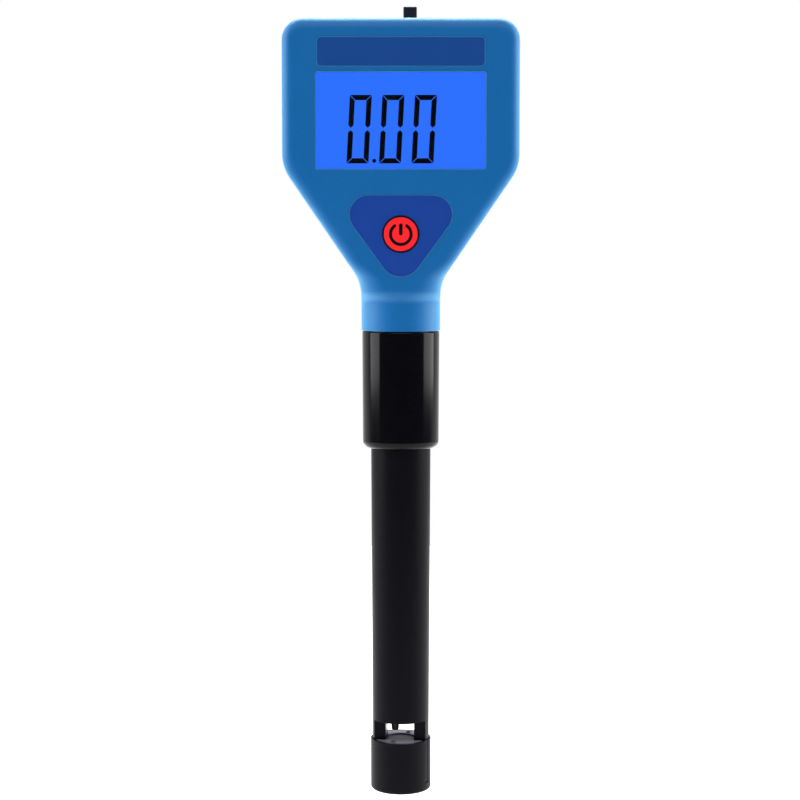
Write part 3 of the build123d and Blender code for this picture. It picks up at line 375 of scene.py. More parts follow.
class Effects:
    """The shared node groups, built once."""

    def __init__(self) -> None:
        """Builds every group."""
        self.grain = self._spark_grain()
        self.handling = self._handling()
        self.streaks = self._streaks()
        self.dust = self._dust()

    def _spark_grain(self) -> bpy.types.NodeTree:
        """Builds the pitted grain of a spark-eroded mould, as a height and a mask of flecks.

        The height is fine noise less shallow round pits, and a fleck is a cell whose random
        number is high.
        """
        sheet, start, end = open_group(
            "spark_grain",
            {"Vector": ("NodeSocketVector", 0.0), "Scale": ("NodeSocketFloat", 4000.0)},
            ["Height", "Fleck"],
        )
        vector = start.outputs["Vector"]
        scale = start.outputs["Scale"]
        noise = sheet.noise(vector, scale, 3.0)
        pits = sheet.add("ShaderNodeTexVoronoi", feature="SMOOTH_F1")
        sheet.join(vector, pits.inputs["Vector"])
        sheet.join(scale, pits.inputs["Scale"])
        sheet.join(
            sheet.math("ADD", sheet.math("MULTIPLY", noise, 0.6), pits.outputs["Distance"]),
            end.inputs["Height"],
        )
        cells = sheet.add("ShaderNodeTexVoronoi")
        sheet.join(vector, cells.inputs["Vector"])
        sheet.join(sheet.math("MULTIPLY", scale, 0.7), cells.inputs["Scale"])
        split = sheet.add("ShaderNodeSeparateColor")
        sheet.join(cells.outputs["Color"], split.inputs["Color"])
        chosen = sheet.math("GREATER_THAN", split.outputs["Red"], 0.88)
        near = sheet.math("LESS_THAN", cells.outputs["Distance"], 0.33)
        sheet.join(sheet.math("MULTIPLY", chosen, near), end.inputs["Fleck"])
        return sheet.tree

    def _handling(self) -> bpy.types.NodeTree:
        """Builds the soft uneven gloss of a handled surface: low plus spread times noise."""
        sheet, start, end = open_group(
            "handling",
            {
                "Vector": ("NodeSocketVector", 0.0),
                "Scale": ("NodeSocketFloat", 120.0),
                "Low": ("NodeSocketFloat", 0.3),
                "Spread": ("NodeSocketFloat", 0.1),
            },
            ["Roughness", "Cloud"],
        )
        cloud = sheet.noise(start.outputs["Vector"], start.outputs["Scale"], 4.0)
        spread = sheet.math("MULTIPLY", cloud, start.outputs["Spread"])
        sheet.join(sheet.math("ADD", spread, start.outputs["Low"]), end.inputs["Roughness"])
        sheet.join(cloud, end.inputs["Cloud"])
        return sheet.tree

    def _streaks(self) -> bpy.types.NodeTree:
        """Builds the long streaks of rolled or brushed metal: noise on a stretched vector."""
        sheet, start, end = open_group(
            "streaks",
            {
                "Vector": ("NodeSocketVector", 0.0),
                "Scale": ("NodeSocketFloat", 900.0),
                "Stretch": ("NodeSocketFloat", 18.0),
            },
            ["Streak"],
        )
        split = sheet.add("ShaderNodeSeparateXYZ")
        sheet.join(start.outputs["Vector"], split.inputs[0])
        joined = sheet.add("ShaderNodeCombineXYZ")
        sheet.join(
            sheet.math("DIVIDE", split.outputs["X"], start.outputs["Stretch"]), joined.inputs["X"]
        )
        sheet.join(split.outputs["Y"], joined.inputs["Y"])
        sheet.join(split.outputs["Z"], joined.inputs["Z"])
        streak = sheet.noise(joined.outputs[0], start.outputs["Scale"], 3.0)
        sheet.join(streak, end.inputs["Streak"])
        return sheet.tree

    def _dust(self) -> bpy.types.NodeTree:
        """Builds sparse fine dust, as a mask that is thickest on faces that look up."""
        sheet, start, end = open_group(
            "dust",
            {
                "Vector": ("NodeSocketVector", 0.0),
                "Scale": ("NodeSocketFloat", 2500.0),
                "Amount": ("NodeSocketFloat", 0.1),
            },
            ["Mask"],
        )
        specks = sheet.add("ShaderNodeTexVoronoi")
        sheet.join(start.outputs["Vector"], specks.inputs["Vector"])
        sheet.join(start.outputs["Scale"], specks.inputs["Scale"])
        small = sheet.math("LESS_THAN", specks.outputs["Distance"], 0.16)
        cloud = sheet.noise(start.outputs["Vector"], 160.0, 3.0)
        patch = sheet.math("GREATER_THAN", cloud, 0.56)
        geometry = sheet.add("ShaderNodeNewGeometry")
        split = sheet.add("ShaderNodeSeparateXYZ")
        sheet.join(geometry.outputs["Normal"], split.inputs[0])
        upward = sheet.math("ADD", sheet.math("MULTIPLY", split.outputs["Z"], 0.5), 0.5)
        mask = sheet.math("MULTIPLY", sheet.math("MULTIPLY", small, patch), upward)
        sheet.join(
            sheet.math("MULTIPLY", mask, start.outputs["Amount"], clamp=True), end.inputs["Mask"]
        )
        return sheet.tree


# Finishes


def start_material(
    name: str,
) -> tuple[bpy.types.Material, Sheet, bpy.types.Node, bpy.types.NodeSocket]:
    """Starts a material with a Principled shader and the object's own coordinates.

    Args:
        name: Name of the material.

    Returns:
        The material, its node sheet, the shader node and the coordinate socket.
    """
    material = bpy.data.materials.new(name)
    material.use_nodes = True
    material.node_tree.nodes.clear()
    sheet = Sheet(material.node_tree)
    shader = sheet.add("ShaderNodeBsdfPrincipled")
    output = sheet.add("ShaderNodeOutputMaterial")
    sheet.join(shader.outputs["BSDF"], output.inputs["Surface"])
    place = sheet.add("ShaderNodeTexCoord")
    return material, sheet, shader, place.outputs["Object"]


def place_group(
    sheet: Sheet,
    tree: bpy.types.NodeTree,
    vector: bpy.types.NodeSocket,
    **values: float,
) -> bpy.types.Node:
    """Places a shared group in a material.

    Args:
        sheet: The material's node sheet.
        tree: The group.
        vector: Coordinates for the group.
        **values: Numbers for its other inputs.

    Returns:
        The group node.
    """
    node = sheet.add("ShaderNodeGroup", node_tree=tree)
    sheet.join(vector, node.inputs["Vector"])
    for title, value in values.items():
        node.inputs[title].default_value = value
    return node


def mixed(
    sheet: Sheet,
    factor: bpy.types.NodeSocket,
    first: bpy.types.NodeSocket | Colour,
    second: Colour,
) -> bpy.types.NodeSocket:
    """Mixes a colour or a colour socket towards a colour by a factor and returns the result."""
    mix = sheet.add("ShaderNodeMix", data_type="RGBA")
    sheet.join(factor, mix.inputs["Factor"])
    if isinstance(first, tuple):
        mix.inputs["A"].default_value = first
    else:
        sheet.join(first, mix.inputs["A"])
    mix.inputs["B"].default_value = second
    return mix.outputs["Result"]


def add_relief(
    sheet: Sheet,
    shader: bpy.types.Node,
    height: bpy.types.NodeSocket,
    strength: float,
    distance: float,
) -> None:
    """Gives a shader a fine relief.

    Args:
        sheet: The material's node sheet.
        shader: The Principled shader.
        height: The relief's height socket.
        strength: How strongly the relief shows.
        distance: Depth of the relief in metres.
    """
    bump = sheet.add("ShaderNodeBump")
    bump.inputs["Strength"].default_value = strength
    bump.inputs["Distance"].default_value = distance
    sheet.join(height, bump.inputs["Height"])
    sheet.join(bump.outputs["Normal"], shader.inputs["Normal"])


def scaled(colour: Colour, factor: float) -> Colour:
    """Returns a colour made lighter or darker by a factor."""
    return (colour[0] * factor, colour[1] * factor, colour[2] * factor, 1.0)


@dataclass(frozen=True)
class Finish:
    """A finish, which builds its material by its name."""

    name: str

    def build(self, effects: Effects) -> bpy.types.Material:
        """Builds the material.

        Args:
            effects: The shared node groups.

        Returns:
            The material.
        """
        raise NotImplementedError


@dataclass(frozen=True)
class MouldedPlastic(Finish):
    """A moulded plastic with a fine pitted grain, flecks and a soft uneven gloss."""

    colour: Colour
    roughness: float = 0.4
    spread: float = 0.08
    grain: float = 4200.0
    relief: float = 0.12
    fleck: float = 0.0
    cloudiness: float = 0.06
    specular: float = 0.5
    # Painted sheen: colour that the base colour turns towards at grazing angles, standing in for
    # side light on rounded edges.
    painted_edge_sheen: Colour | None = None
    dust: float = 0.03

    def build(self, effects: Effects) -> bpy.types.Material:
        """Builds the material."""
        material, sheet, shader, place = start_material(self.name)
        grain = place_group(sheet, effects.grain, place, Scale=self.grain)
        handling = place_group(
            sheet, effects.handling, place, Scale=140.0, Low=self.roughness, Spread=self.spread
        )
        darker = scaled(self.colour, 1.0 - self.cloudiness)
        lighter = scaled(self.colour, 1.0 + self.cloudiness)
        colour = mixed(sheet, handling.outputs["Cloud"], darker, lighter)
        fleck = sheet.math("MULTIPLY", grain.outputs["Fleck"], self.fleck)
        colour = mixed(sheet, fleck, colour, scaled(self.colour, 2.6))
        dust = place_group(sheet, effects.dust, place, Amount=self.dust)
        colour = mixed(sheet, dust.outputs["Mask"], colour, paint(190, 190, 186))
        # Painted sheen: the base colour lightens towards the grazing parts of rounded edges,
        # where side light would fall.
        if self.painted_edge_sheen:
            slant = sheet.add("ShaderNodeLayerWeight")
            slant.inputs["Blend"].default_value = 0.5
            share = sheet.math("POWER", slant.outputs["Facing"], 1.6)
            colour = mixed(sheet, share, colour, self.painted_edge_sheen)
        sheet.join(colour, shader.inputs["Base Color"])
        sheet.join(handling.outputs["Roughness"], shader.inputs["Roughness"])
        add_relief(sheet, shader, grain.outputs["Height"], self.relief, 0.02 * MM)
        shader.inputs["Specular IOR Level"].default_value = self.specular
        return material


@dataclass(frozen=True)
class RolledMetal(Finish):
    """A metal sheet, pin or can with fine streaks from rolling or turning."""

    colour: Colour
    roughness: float = 0.25
    spread: float = 0.15
    stretch: float = 18.0
    scale: float = 900.0
    relief: float = 0.08

    def build(self, effects: Effects) -> bpy.types.Material:
        """Builds the material."""
        material, sheet, shader, place = start_material(self.name)
        streaks = place_group(
            sheet, effects.streaks, place, Scale=self.scale, Stretch=self.stretch
        )
        streak = streaks.outputs["Streak"]
        sheet.join(
            mixed(sheet, streak, scaled(self.colour, 0.86), scaled(self.colour, 1.1)),
            shader.inputs["Base Color"],
        )
        rough = sheet.math("ADD", sheet.math("MULTIPLY", streak, self.spread), self.roughness)
        sheet.join(rough, shader.inputs["Roughness"])
        add_relief(sheet, shader, streak, self.relief, 0.02 * MM)
        shader.inputs["Metallic"].default_value = 1.0
        return material


@dataclass(frozen=True)
class PrintedFilm(Finish):
    """A printed film with a fine matte coat, as on a keypad or a name plate."""

    colour: Colour
    roughness: float = 0.38
    specular: float = 0.3

    def build(self, effects: Effects) -> bpy.types.Material:
        """Builds the material."""
        material, sheet, shader, place = start_material(self.name)
        handling = place_group(
            sheet, effects.handling, place, Scale=260.0, Low=self.roughness, Spread=0.06
        )
        grain = place_group(sheet, effects.grain, place, Scale=9000.0)
        sheet.join(
            mixed(
                sheet,
                handling.outputs["Cloud"],
                scaled(self.colour, 0.97),
                scaled(self.colour, 1.03),
            ),
            shader.inputs["Base Color"],
        )
        sheet.join(handling.outputs["Roughness"], shader.inputs["Roughness"])
        add_relief(sheet, shader, grain.outputs["Height"], 0.04, 0.01 * MM)
        shader.inputs["Specular IOR Level"].default_value = self.specular
        return material


@dataclass(frozen=True)
class ClearPane(Finish):
    """A clear pane that light passes through."""

    ior: float = 1.46
    roughness: float = 0.01

    def build(self, effects: Effects) -> bpy.types.Material:
        """Builds the material."""
        material, sheet, shader, place = start_material(self.name)
        handling = place_group(
            sheet, effects.handling, place, Scale=90.0, Low=self.roughness, Spread=0.015
        )
        sheet.join(handling.outputs["Roughness"], shader.inputs["Roughness"])
        shader.inputs["Base Color"].default_value = (1.0, 1.0, 1.0, 1.0)
        shader.inputs["IOR"].default_value = self.ior
        shader.inputs["Transmission Weight"].default_value = 1.0
        return material


@dataclass(frozen=True)
class LitPanel(Finish):
    """A panel that glows evenly, with faint clouds."""

    glow: Colour
    strength: float = 1.0
    body: Colour = paint(8, 26, 70)

    def build(self, effects: Effects) -> bpy.types.Material:
        """Builds the material."""
        material, sheet, shader, place = start_material(self.name)
        handling = place_group(
            sheet, effects.handling, place, Scale=45.0, Low=0.12, Spread=0.05
        )
        glow = mixed(
            sheet, handling.outputs["Cloud"], scaled(self.glow, 0.985), scaled(self.glow, 1.015)
        )
        sheet.join(glow, shader.inputs["Emission Color"])
        sheet.join(handling.outputs["Roughness"], shader.inputs["Roughness"])
        shader.inputs["Emission Strength"].default_value = self.strength
        shader.inputs["Base Color"].default_value = self.body
        shader.inputs["Specular IOR Level"].default_value = 0.2
        return material


@dataclass(frozen=True)
class BoardLaminate(Finish):
    """A circuit board's lacquer over fine copper tracks."""

    lacquer: Colour
    track: Colour

    def build(self, effects: Effects) -> bpy.types.Material:
        """Builds the material; its tracks are the raised joints of a brick pattern."""
        material, sheet, shader, place = start_material(self.name)
        split = sheet.add("ShaderNodeSeparateXYZ")
        sheet.join(place, split.inputs[0])
        flat = sheet.add("ShaderNodeCombineXYZ")
        sheet.join(split.outputs["X"], flat.inputs["X"])
        sheet.join(split.outputs["Z"], flat.inputs["Y"])
        bricks = sheet.add("ShaderNodeTexBrick")
        sheet.join(flat.outputs[0], bricks.inputs["Vector"])
        bricks.inputs["Scale"].default_value = 260.0
        bricks.inputs["Mortar Size"].default_value = 0.035
        bricks.inputs["Brick Width"].default_value = 1.7
        bricks.inputs["Row Height"].default_value = 0.32
        tracks = bricks.outputs["Fac"]
        sheet.join(mixed(sheet, tracks, self.lacquer, self.track), shader.inputs["Base Color"])
        handling = place_group(
            sheet, effects.handling, place, Scale=200.0, Low=0.22, Spread=0.1
        )
        sheet.join(handling.outputs["Roughness"], shader.inputs["Roughness"])
        add_relief(sheet, shader, bricks.outputs["Fac"], 0.3, 0.03 * MM)
        return material


class Palette:
    """Every finish on the tester, each built as a material once."""

    def __init__(self) -> None:
        """Builds the shared groups and the materials."""
        self.effects = Effects()
        self.materials = {
            finish.name: finish.build(self.effects) for finish in self._finishes()
        }

    def _finishes(self) -> list[Finish]:
        """Lists the finishes by the places that they are for."""
        return [
            MouldedPlastic(
                "case_blue", paint(9, 94, 157), roughness=0.42, spread=0.06, grain=3600.0,
                relief=0.3, fleck=0.10, cloudiness=0.03, specular=0.2,
                # painted sheen colour for the case's rounded edges
                painted_edge_sheen=paint(92, 172, 218),
            ),
            # A lighter copy of the case blue for the lips: a painted highlight along their
            # bevels.
            MouldedPlastic(
                "rim_blue_painted_highlight", paint(48, 116, 176), roughness=0.45, grain=3600.0, specular=0.2
            ),
            PrintedFilm("plate_film", paint(6, 63, 134)),
            PrintedFilm("keypad_blue", paint(8, 58, 144)),
            MouldedPlastic("button_red", paint(250, 32, 40), roughness=0.36, spread=0.05,
                           grain=5200.0, relief=0.06, cloudiness=0.02, specular=0.3,),
            PrintedFilm("print_black", paint(1, 1, 5), roughness=0.6, specular=0.05),
            MouldedPlastic("ring_black", paint(4, 4, 8), roughness=0.35, specular=0.2),
            MouldedPlastic("knob_black", paint(12, 17, 34), roughness=0.4, specular=0.3),
            MouldedPlastic("sleeve_black", paint(8, 8, 12), roughness=0.09, spread=0.05,
                           grain=2600.0, relief=0.012, cloudiness=0.1, specular=0.13),
            MouldedPlastic("tube_black", paint(5, 5, 11), roughness=0.33, spread=0.06,
                           grain=3200.0, relief=0.03, cloudiness=0.08, specular=0.07),
            MouldedPlastic("cap_black", paint(5, 5, 11), roughness=0.38, spread=0.06,
                           grain=3200.0, relief=0.04, cloudiness=0.08, specular=0.08),
            MouldedPlastic("disc_grey", paint(92, 91, 106), roughness=0.5, spread=0.08,
                           grain=3000.0, relief=0.08, cloudiness=0.08, specular=0.4),
            MouldedPlastic("finger_black", paint(16, 16, 24), roughness=0.34, specular=0.35),
            MouldedPlastic("socket_black", paint(12, 12, 15), roughness=0.3, specular=0.4),
            MouldedPlastic("inner_black", paint(18, 18, 20), roughness=0.4),
            MouldedPlastic("seal_rubber", paint(14, 14, 14), roughness=0.62, specular=0.3),
            MouldedPlastic("contact_rubber", paint(206, 200, 190), roughness=0.7),
            MouldedPlastic("trimmer_blue", paint(28, 72, 156), roughness=0.4),
            MouldedPlastic("capacitor_sleeve", paint(22, 26, 40), roughness=0.22),
            MouldedPlastic("lead_red", paint(178, 24, 20), roughness=0.38),
            MouldedPlastic("lead_black", paint(16, 16, 17), roughness=0.38),
            MouldedPlastic("lead_white", paint(214, 212, 204), roughness=0.38),
            MouldedPlastic("lead_yellow", paint(214, 172, 34), roughness=0.38),
            MouldedPlastic("cell_grommet", paint(34, 40, 38), roughness=0.45),
            RolledMetal("sheet_steel", paint(176, 176, 178), roughness=0.3),
            RolledMetal("cell_steel", paint(206, 205, 202), roughness=0.14, spread=0.1,
                        stretch=1.0, scale=500.0, relief=0.03),
            RolledMetal("screw_steel", paint(150, 150, 152), roughness=0.28, stretch=1.0),
            RolledMetal("electrode_steel", paint(168, 167, 170), roughness=0.3, stretch=1.0),
            RolledMetal("contact_brass", paint(214, 176, 92), roughness=0.2, stretch=1.0),
            ClearPane("clear_pane"),
            LitPanel("display_glow", paint(44, 112, 255), strength=1.03),
            LitPanel("backlight_glow", paint(60, 130, 255), strength=0.9),
            ClearPane("display_glass", ior=1.5, roughness=0.03),
            BoardLaminate("board_green", paint(14, 74, 40), paint(40, 112, 62)),
        ]

    def __getitem__(self, name: str) -> bpy.types.Material:
        """Returns a material by its name."""
        return self.materials[name]


# Sub-assemblies


@dataclass
class Assembly:
    """What every sub-assembly shares: the palette, its CAD body and how pieces are dressed."""

    palette: Palette
    nodes: dict[str, bpy.types.Object]

    def dress(self, finishes: dict[str, str]) -> None:
        """Gives CAD nodes their materials.

        Args:
            finishes: The nodes for each finish, with spaces between their names.
        """
        for finish, names in finishes.items():
            for node in names.split():
                for slot in self.nodes[node].material_slots:
                    slot.material = self.palette[finish]
            LOG.info("%s: %s", finish, names)

    def fit(
        self, piece: bpy.types.Object, body: str, finish: str, slot: str, *stands_for: str
    ) -> None:
        """Dresses a new piece and makes it ride on its body.

        Args:
            piece: The new piece.
            body: The CAD body that it moves with.
            finish: The name of its finish.
            slot: Not used.
            *stands_for: CAD nodes that it replaces.
        """
        piece.data.materials.clear()
        piece.data.materials.append(self.palette[finish])
        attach(piece, body)
        for node in stands_for:
            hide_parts(node)
        LOG.info("%s: %s on %s", piece.name, finish, body)


@dataclass
class Head(Assembly):
    """The blue head: two shells, films, button ring, battery parts and board."""

    def build(self) -> None:
        """Gives the head's CAD nodes their finishes."""
        self.dress(
            {
                "case_blue": "front_shell rear_shell battery_door",
                "plate_film": "name_plate",
                "keypad_blue": "keypad_film",
                "ring_black": "button_ring",
                "button_red": "power_button",
                "inner_black": "tact_plunger tact_switch controller_chip switch_base",
                "board_green": "main_board",
                "capacitor_sleeve": "smoothing_capacitor",
                "sheet_steel": "crystal switch_can contact_plate contact_leaf",
                "trimmer_blue": "trimmer",
                "knob_black": "switch_knob",
                "cell_steel": "battery_cell_1 battery_cell_2 battery_cell_3",
                "lead_red": "head_lead_1",
                "lead_black": "head_lead_2",
                "lead_white": "head_lead_3",
                "lead_yellow": "head_lead_4",
            }
        )


@dataclass
class CaseScrews(Assembly):
    """The four pan head screws that hold the rear shell, each with a cross recess."""

    places: tuple[tuple[float, float], ...] = (
        (-18.4, 149.9), (18.4, 149.9), (-11.02, 116.5), (11.02, 116.5),
    )
    tip: float = -6.2
    seat: float = 6.5
    crown: float = 7.8
    head_radius: float = 1.9
    shank_radius: float = 1.05
    recess_length: float = 1.15
    recess_width: float = 0.26
    recess_depth: float = 0.75

    def body(self) -> np.ndarray:
        """Works out the profile of the shank, the seat, the rounded rim and the crown."""
        shank, head = self.shank_radius, self.head_radius
        outside = rounded_profile(
            [(0.0, self.tip, 0.0), (shank, self.tip, 0.3), (shank, self.seat, 0.0),
             (head, self.seat, 0.05), (head, self.crown, 0.45), (1.4, self.crown, 0.0)]
        )
        inwards = np.linspace(1.36, 0.0, 30)
        crown = np.column_stack([inwards, np.full(30, self.crown)])
        return np.concatenate([outside, crown])

    def recessed(self, local: np.ndarray) -> np.ndarray:
        """Presses the cross into the crown.

        With a and b the larger and the smaller of |x| and |y|, the crown drops by
        depth * clip((length - a) / 0.35, 0, 1) * clip((width - b) / 0.08, 0, 1).

        Args:
            local: Grid of points about the screw's own axis.

        Returns:
            The grid with the recess.
        """
        flat = np.abs(local[..., :2])
        length = np.clip((self.recess_length - flat.max(axis=-1)) / 0.35, 0.0, 1.0)
        width = np.clip((self.recess_width - flat.min(axis=-1)) / 0.08, 0.0, 1.0)
        crown = local[..., 2] > self.crown - 1e-6
        pressed = local.copy()
        pressed[..., 2] -= self.recess_depth * length * width * crown
        return pressed

    def build(self) -> None:
        """Builds the four screws as one piece."""
        local = self.recessed(turned(self.body(), 120))
        faces = grid_faces(len(local), 120, False, True)
        places = [placed(local, (x, 0.0, z), Axis.BACK) for x, z in self.places]
        count = local.shape[0] * local.shape[1]
        joined = np.concatenate([faces + index * count for index in range(len(places))])
        piece = make_piece("cross_screws", np.stack(places), joined)
        self.fit(piece, "head", "screw_steel", "screw_steel", "case_screws")


@dataclass
class Display(Assembly):
    """The lit display behind its clear window, with its three digits."""

    digit_top: float = 139.98
    digit_foot: float = 126.68
    digit_middle: float = 133.38
    first_left: float = -9.95
    pitch: float = 6.37
    width: float = 4.3
    stroke: float = 1.0
    lean: float = 0.053
    mitre_gap: float = 0.09
    middle_gap: float = 0.22
    dot_place: tuple[float, float] = (-5.21, 127.2)
    dot_radius: float = 0.4
    front: float = -6.37
    thickness: float = 0.03

    def segments(self, left: float) -> list[np.ndarray]:
        """Works out the six lit bars of a nought.

        The level bars are cut at 45 degrees at both ends. The upright bars are cut so at their
        outer end, and run to a point half way across their width at the middle of the digit.

        Args:
            left: X of the digit's left side at its top.

        Returns:
            One outline for each bar.
        """
        top, foot, middle = self.digit_top, self.digit_foot, self.digit_middle
        right = left + self.width
        bar, gap = self.stroke, self.mitre_gap
        upper = middle + self.middle_gap
        lower = middle - self.middle_gap
        shapes = [
            [
                (left + gap, top), (left + bar + gap, top - bar),
                (right - bar - gap, top - bar), (right - gap, top),
            ],
            [
                (left + gap, foot), (right - gap, foot),
                (right - bar - gap, foot + bar), (left + bar + gap, foot + bar),
            ],
        ]
        for outer, inner in ((left, left + bar), (right, right - bar)):
            point = (outer + inner) / 2
            side = [
                (outer, top - gap), (outer, upper + bar / 2), (point, upper),
                (inner, upper + bar / 2), (inner, top - bar - gap),
            ]
            shapes.append(side if outer < inner else side[::-1])
            side = [
                (outer, foot + gap), (outer, lower - bar / 2), (point, lower),
                (inner, lower - bar / 2), (inner, foot + bar + gap),
            ]
            shapes.append(side[::-1] if outer < inner else side)
        return [self.leant(np.array(shape)) for shape in shapes]

    def leant(self, outline: np.ndarray) -> np.ndarray:
        """Leans an outline to the right: x goes left by lean times the drop from the top."""
        shifted = outline.copy()
        shifted[:, 0] -= (self.digit_top - outline[:, 1]) * self.lean
        return shifted

    def dot(self) -> np.ndarray:
        """Works out the decimal point, a circle."""
        angle = np.linspace(0.0, 2 * math.pi, 24, endpoint=False)
        x, z = self.dot_place
        return np.column_stack(
            [x + self.dot_radius * np.cos(angle), z + self.dot_radius * np.sin(angle)]
        )

    def build(self) -> None:
        """Builds the digits and dresses the display's nodes."""
        self.dress(
            {
                "clear_pane": "display_window",
                "display_glow": "lcd_front_glass",
                "display_glass": "lcd_rear_glass",
                "backlight_glow": "backlight",
                "contact_rubber": "contact_strip",
                "sheet_steel": "display_frame",
            }
        )
        for index in range(3):
            outlines = self.segments(self.first_left + index * self.pitch)
            piece = flat_plates(f"digit_{index + 1}", outlines, self.front, self.thickness)
            self.fit(piece, "head", "print_black", "black_plastic")
        piece = flat_plates("decimal_point", [self.dot()], self.front, self.thickness)
        self.fit(piece, "head", "print_black", "black_plastic")


@dataclass
class PanelRims(Assembly):
    """The thin raised lips of the case round the plate, the window and the keypad."""

    width: float = 0.24
    bevel: float = 0.05
    hole_centre: tuple[float, float] = (0.0, 112.85)
    hole_radius: float = 4.2
    front: float = -9.02
    depth: float = 0.3

    def outline(self, node: str) -> np.ndarray:
        """Reads the outline of a convex panel from the front of its CAD mesh.

        The points round the button's hole are left out, and the others are sorted by their
        angle about the panel's middle.

        Args:
            node: Name of the CAD node.

        Returns:
            X and Z pairs in millimetres, anticlockwise as the viewer sees them.
        """
        source = self.nodes[node]
        flat = np.empty(3 * len(source.data.vertices))
        source.data.vertices.foreach_get("co", flat)
        world = np.array(source.matrix_world)
        points = (flat.reshape(-1, 3) @ world[:3, :3].T + world[:3, 3]) / MM
        faced = points[points[:, 1] < points[:, 1].min() + 0.02][:, [0, 2]]
        faced = np.unique(np.round(faced, 3), axis=0)
        away = np.linalg.norm(faced - np.array(self.hole_centre), axis=1)
        faced = faced[away > self.hole_radius]
        middle = (faced.min(axis=0) + faced.max(axis=0)) / 2
        turn = np.arctan2(faced[:, 1] - middle[1], faced[:, 0] - middle[0])
        return faced[np.argsort(turn)]

    def lip(self, node: str) -> np.ndarray:
        """Works out a lip: the outline moved out along its normals by four offsets.

        P(k, s) = C(s) + o(k) n(s), where n is the mean of the normals of the two sides
        that meet at the point, and the four rows are the inner foot, the inner crest,
        the outer crest and the outer foot.

        Args:
            node: Name of the CAD node.

        Returns:
            Grid of points, one row for each offset.
        """
        curve = self.outline(node)
        side = np.roll(curve, -1, axis=0) - np.roll(curve, 1, axis=0)
        normal = np.column_stack([side[:, 1], -side[:, 0]])
        normal /= np.linalg.norm(normal, axis=1, keepdims=True)
        bevel, width = self.bevel, self.width
        rows = (
            (0.0, self.depth), (bevel, 0.0), (width - bevel, 0.0), (width, self.depth),
        )
        grid = np.empty((len(rows), len(curve), 3))
        offset = np.array([row[0] for row in rows])[:, None, None]
        grid[:, :, [0, 2]] = curve + offset * normal
        grid[:, :, 1] = self.front + np.array([row[1] for row in rows])[:, None]
        return grid

    def build(self) -> None:
        """Builds the three lips."""
        # The lips take a lighter copy of the case blue: a painted highlight along their bevels.
        for node in ("name_plate", "display_window", "keypad_film"):
            grid = self.lip(node)
            faces = grid_faces(len(grid), grid.shape[1], True, True)
            piece = make_piece(f"{node}_rim", grid, faces[:, ::-1])
            self.fit(piece, "head", "rim_blue_painted_highlight", "head_plastic")


@dataclass
class PowerMark(Assembly):
    """The power symbol printed on the red button: an open ring with a bar in its gap."""

    centre: float = 112.85
    front: float = -9.135
    thickness: float = 0.02
    ring_radius: float = 2.01
    stroke: float = 0.6
    opening: float = 36.0
    bar_top: float = 2.09
    bar_foot: float = -0.24
    bar_width: float = 0.66

    def open_ring(self) -> np.ndarray:
        """Works out the ring with round ends.

        The outline runs along the outer radius, round one end on a half circle of half the
        stroke, back along the inner radius and round the other end.

        Returns:
            X and Z pairs, anticlockwise as the viewer sees them.
        """
        half = self.stroke / 2
        start = math.radians(90 + self.opening)
        stop = math.radians(450 - self.opening)
        sweep = np.linspace(start, stop, 64)
        outer = (self.ring_radius + half) * np.column_stack([np.cos(sweep), np.sin(sweep)])
        inner = (self.ring_radius - half) * np.column_stack([np.cos(sweep), np.sin(sweep)])
        turn = np.linspace(0.0, math.pi, 12)[1:-1]
        ends = []
        for angle, sign in ((stop, 1.0), (start, -1.0)):
            middle = self.ring_radius * np.array([math.cos(angle), math.sin(angle)])
            bend = angle + (turn if sign > 0 else turn + math.pi)
            ends.append(middle + half * np.column_stack([np.cos(bend), np.sin(bend)]))
        ring = np.concatenate([outer, ends[0], inner[::-1], ends[1]])
        return ring + np.array([0.0, self.centre])

    def bar(self) -> np.ndarray:
        """Works out the bar, a slot shape with small round ends."""
        half = self.bar_width / 2
        turn = np.linspace(0.0, math.pi, 10)
        cap = np.column_stack([np.cos(turn), 0.6 * np.sin(turn)]) * half
        top = cap + np.array([0.0, self.bar_top - 0.6 * half])
        foot = -cap + np.array([0.0, self.bar_foot + 0.6 * half])
        return np.concatenate([top, foot]) + np.array([0.0, self.centre])

    def build(self) -> None:
        """Builds the mark."""
        piece = flat_plates(
            "power_mark", [self.open_ring(), self.bar()], self.front, self.thickness
        )
        self.fit(piece, "button", "print_black", "black_plastic")


@dataclass
class Probe(Assembly):
    """The black probe: tube, plug, cell, wires, and the socket that it plugs into."""

    finger_x: float = -1.146
    finger_y: float = 0.1
    finger_tip: float = 12.0
    finger_top: float = 14.6
    finger_radius: float = 0.85

    def finger(self) -> None:
        """Builds the blunt sheath of the temperature finger."""
        low, top, radius = self.finger_tip, self.finger_top, self.finger_radius
        profile = rounded_profile(
            [(0.0, low, 0.0), (radius * 0.86, low, 0.35), (radius, top, 0.0), (0.0, top, 0.0)],
            10,
        )
        piece = turned_piece(
            "finger_sheath", profile, 64, (self.finger_x, self.finger_y, 0.0)
        )
        self.fit(piece, "probe", "finger_black", "finger_plastic")

    def build(self) -> None:
        """Dresses the probe's nodes and the socket's."""
        self.dress(
            {
                "tube_black": "probe_tube",
                "socket_black": "probe_plug probe_socket",
                "contact_brass": "plug_contacts socket_pins",
                "seal_rubber": "face_seal",
                "inner_black": "cell_insert",
                "electrode_steel": "electrode_left electrode_right",
                "finger_black": "temperature_finger",
                "lead_red": "probe_wire_1",
                "lead_black": "probe_wire_2",
                "lead_white": "probe_wire_3",
                "lead_yellow": "probe_wire_4",
                "sleeve_black": "locking_sleeve",
                "cap_black": "foot_cap",
                "disc_grey": "cap_disc",
            }
        )
        self.finger()


# Stage


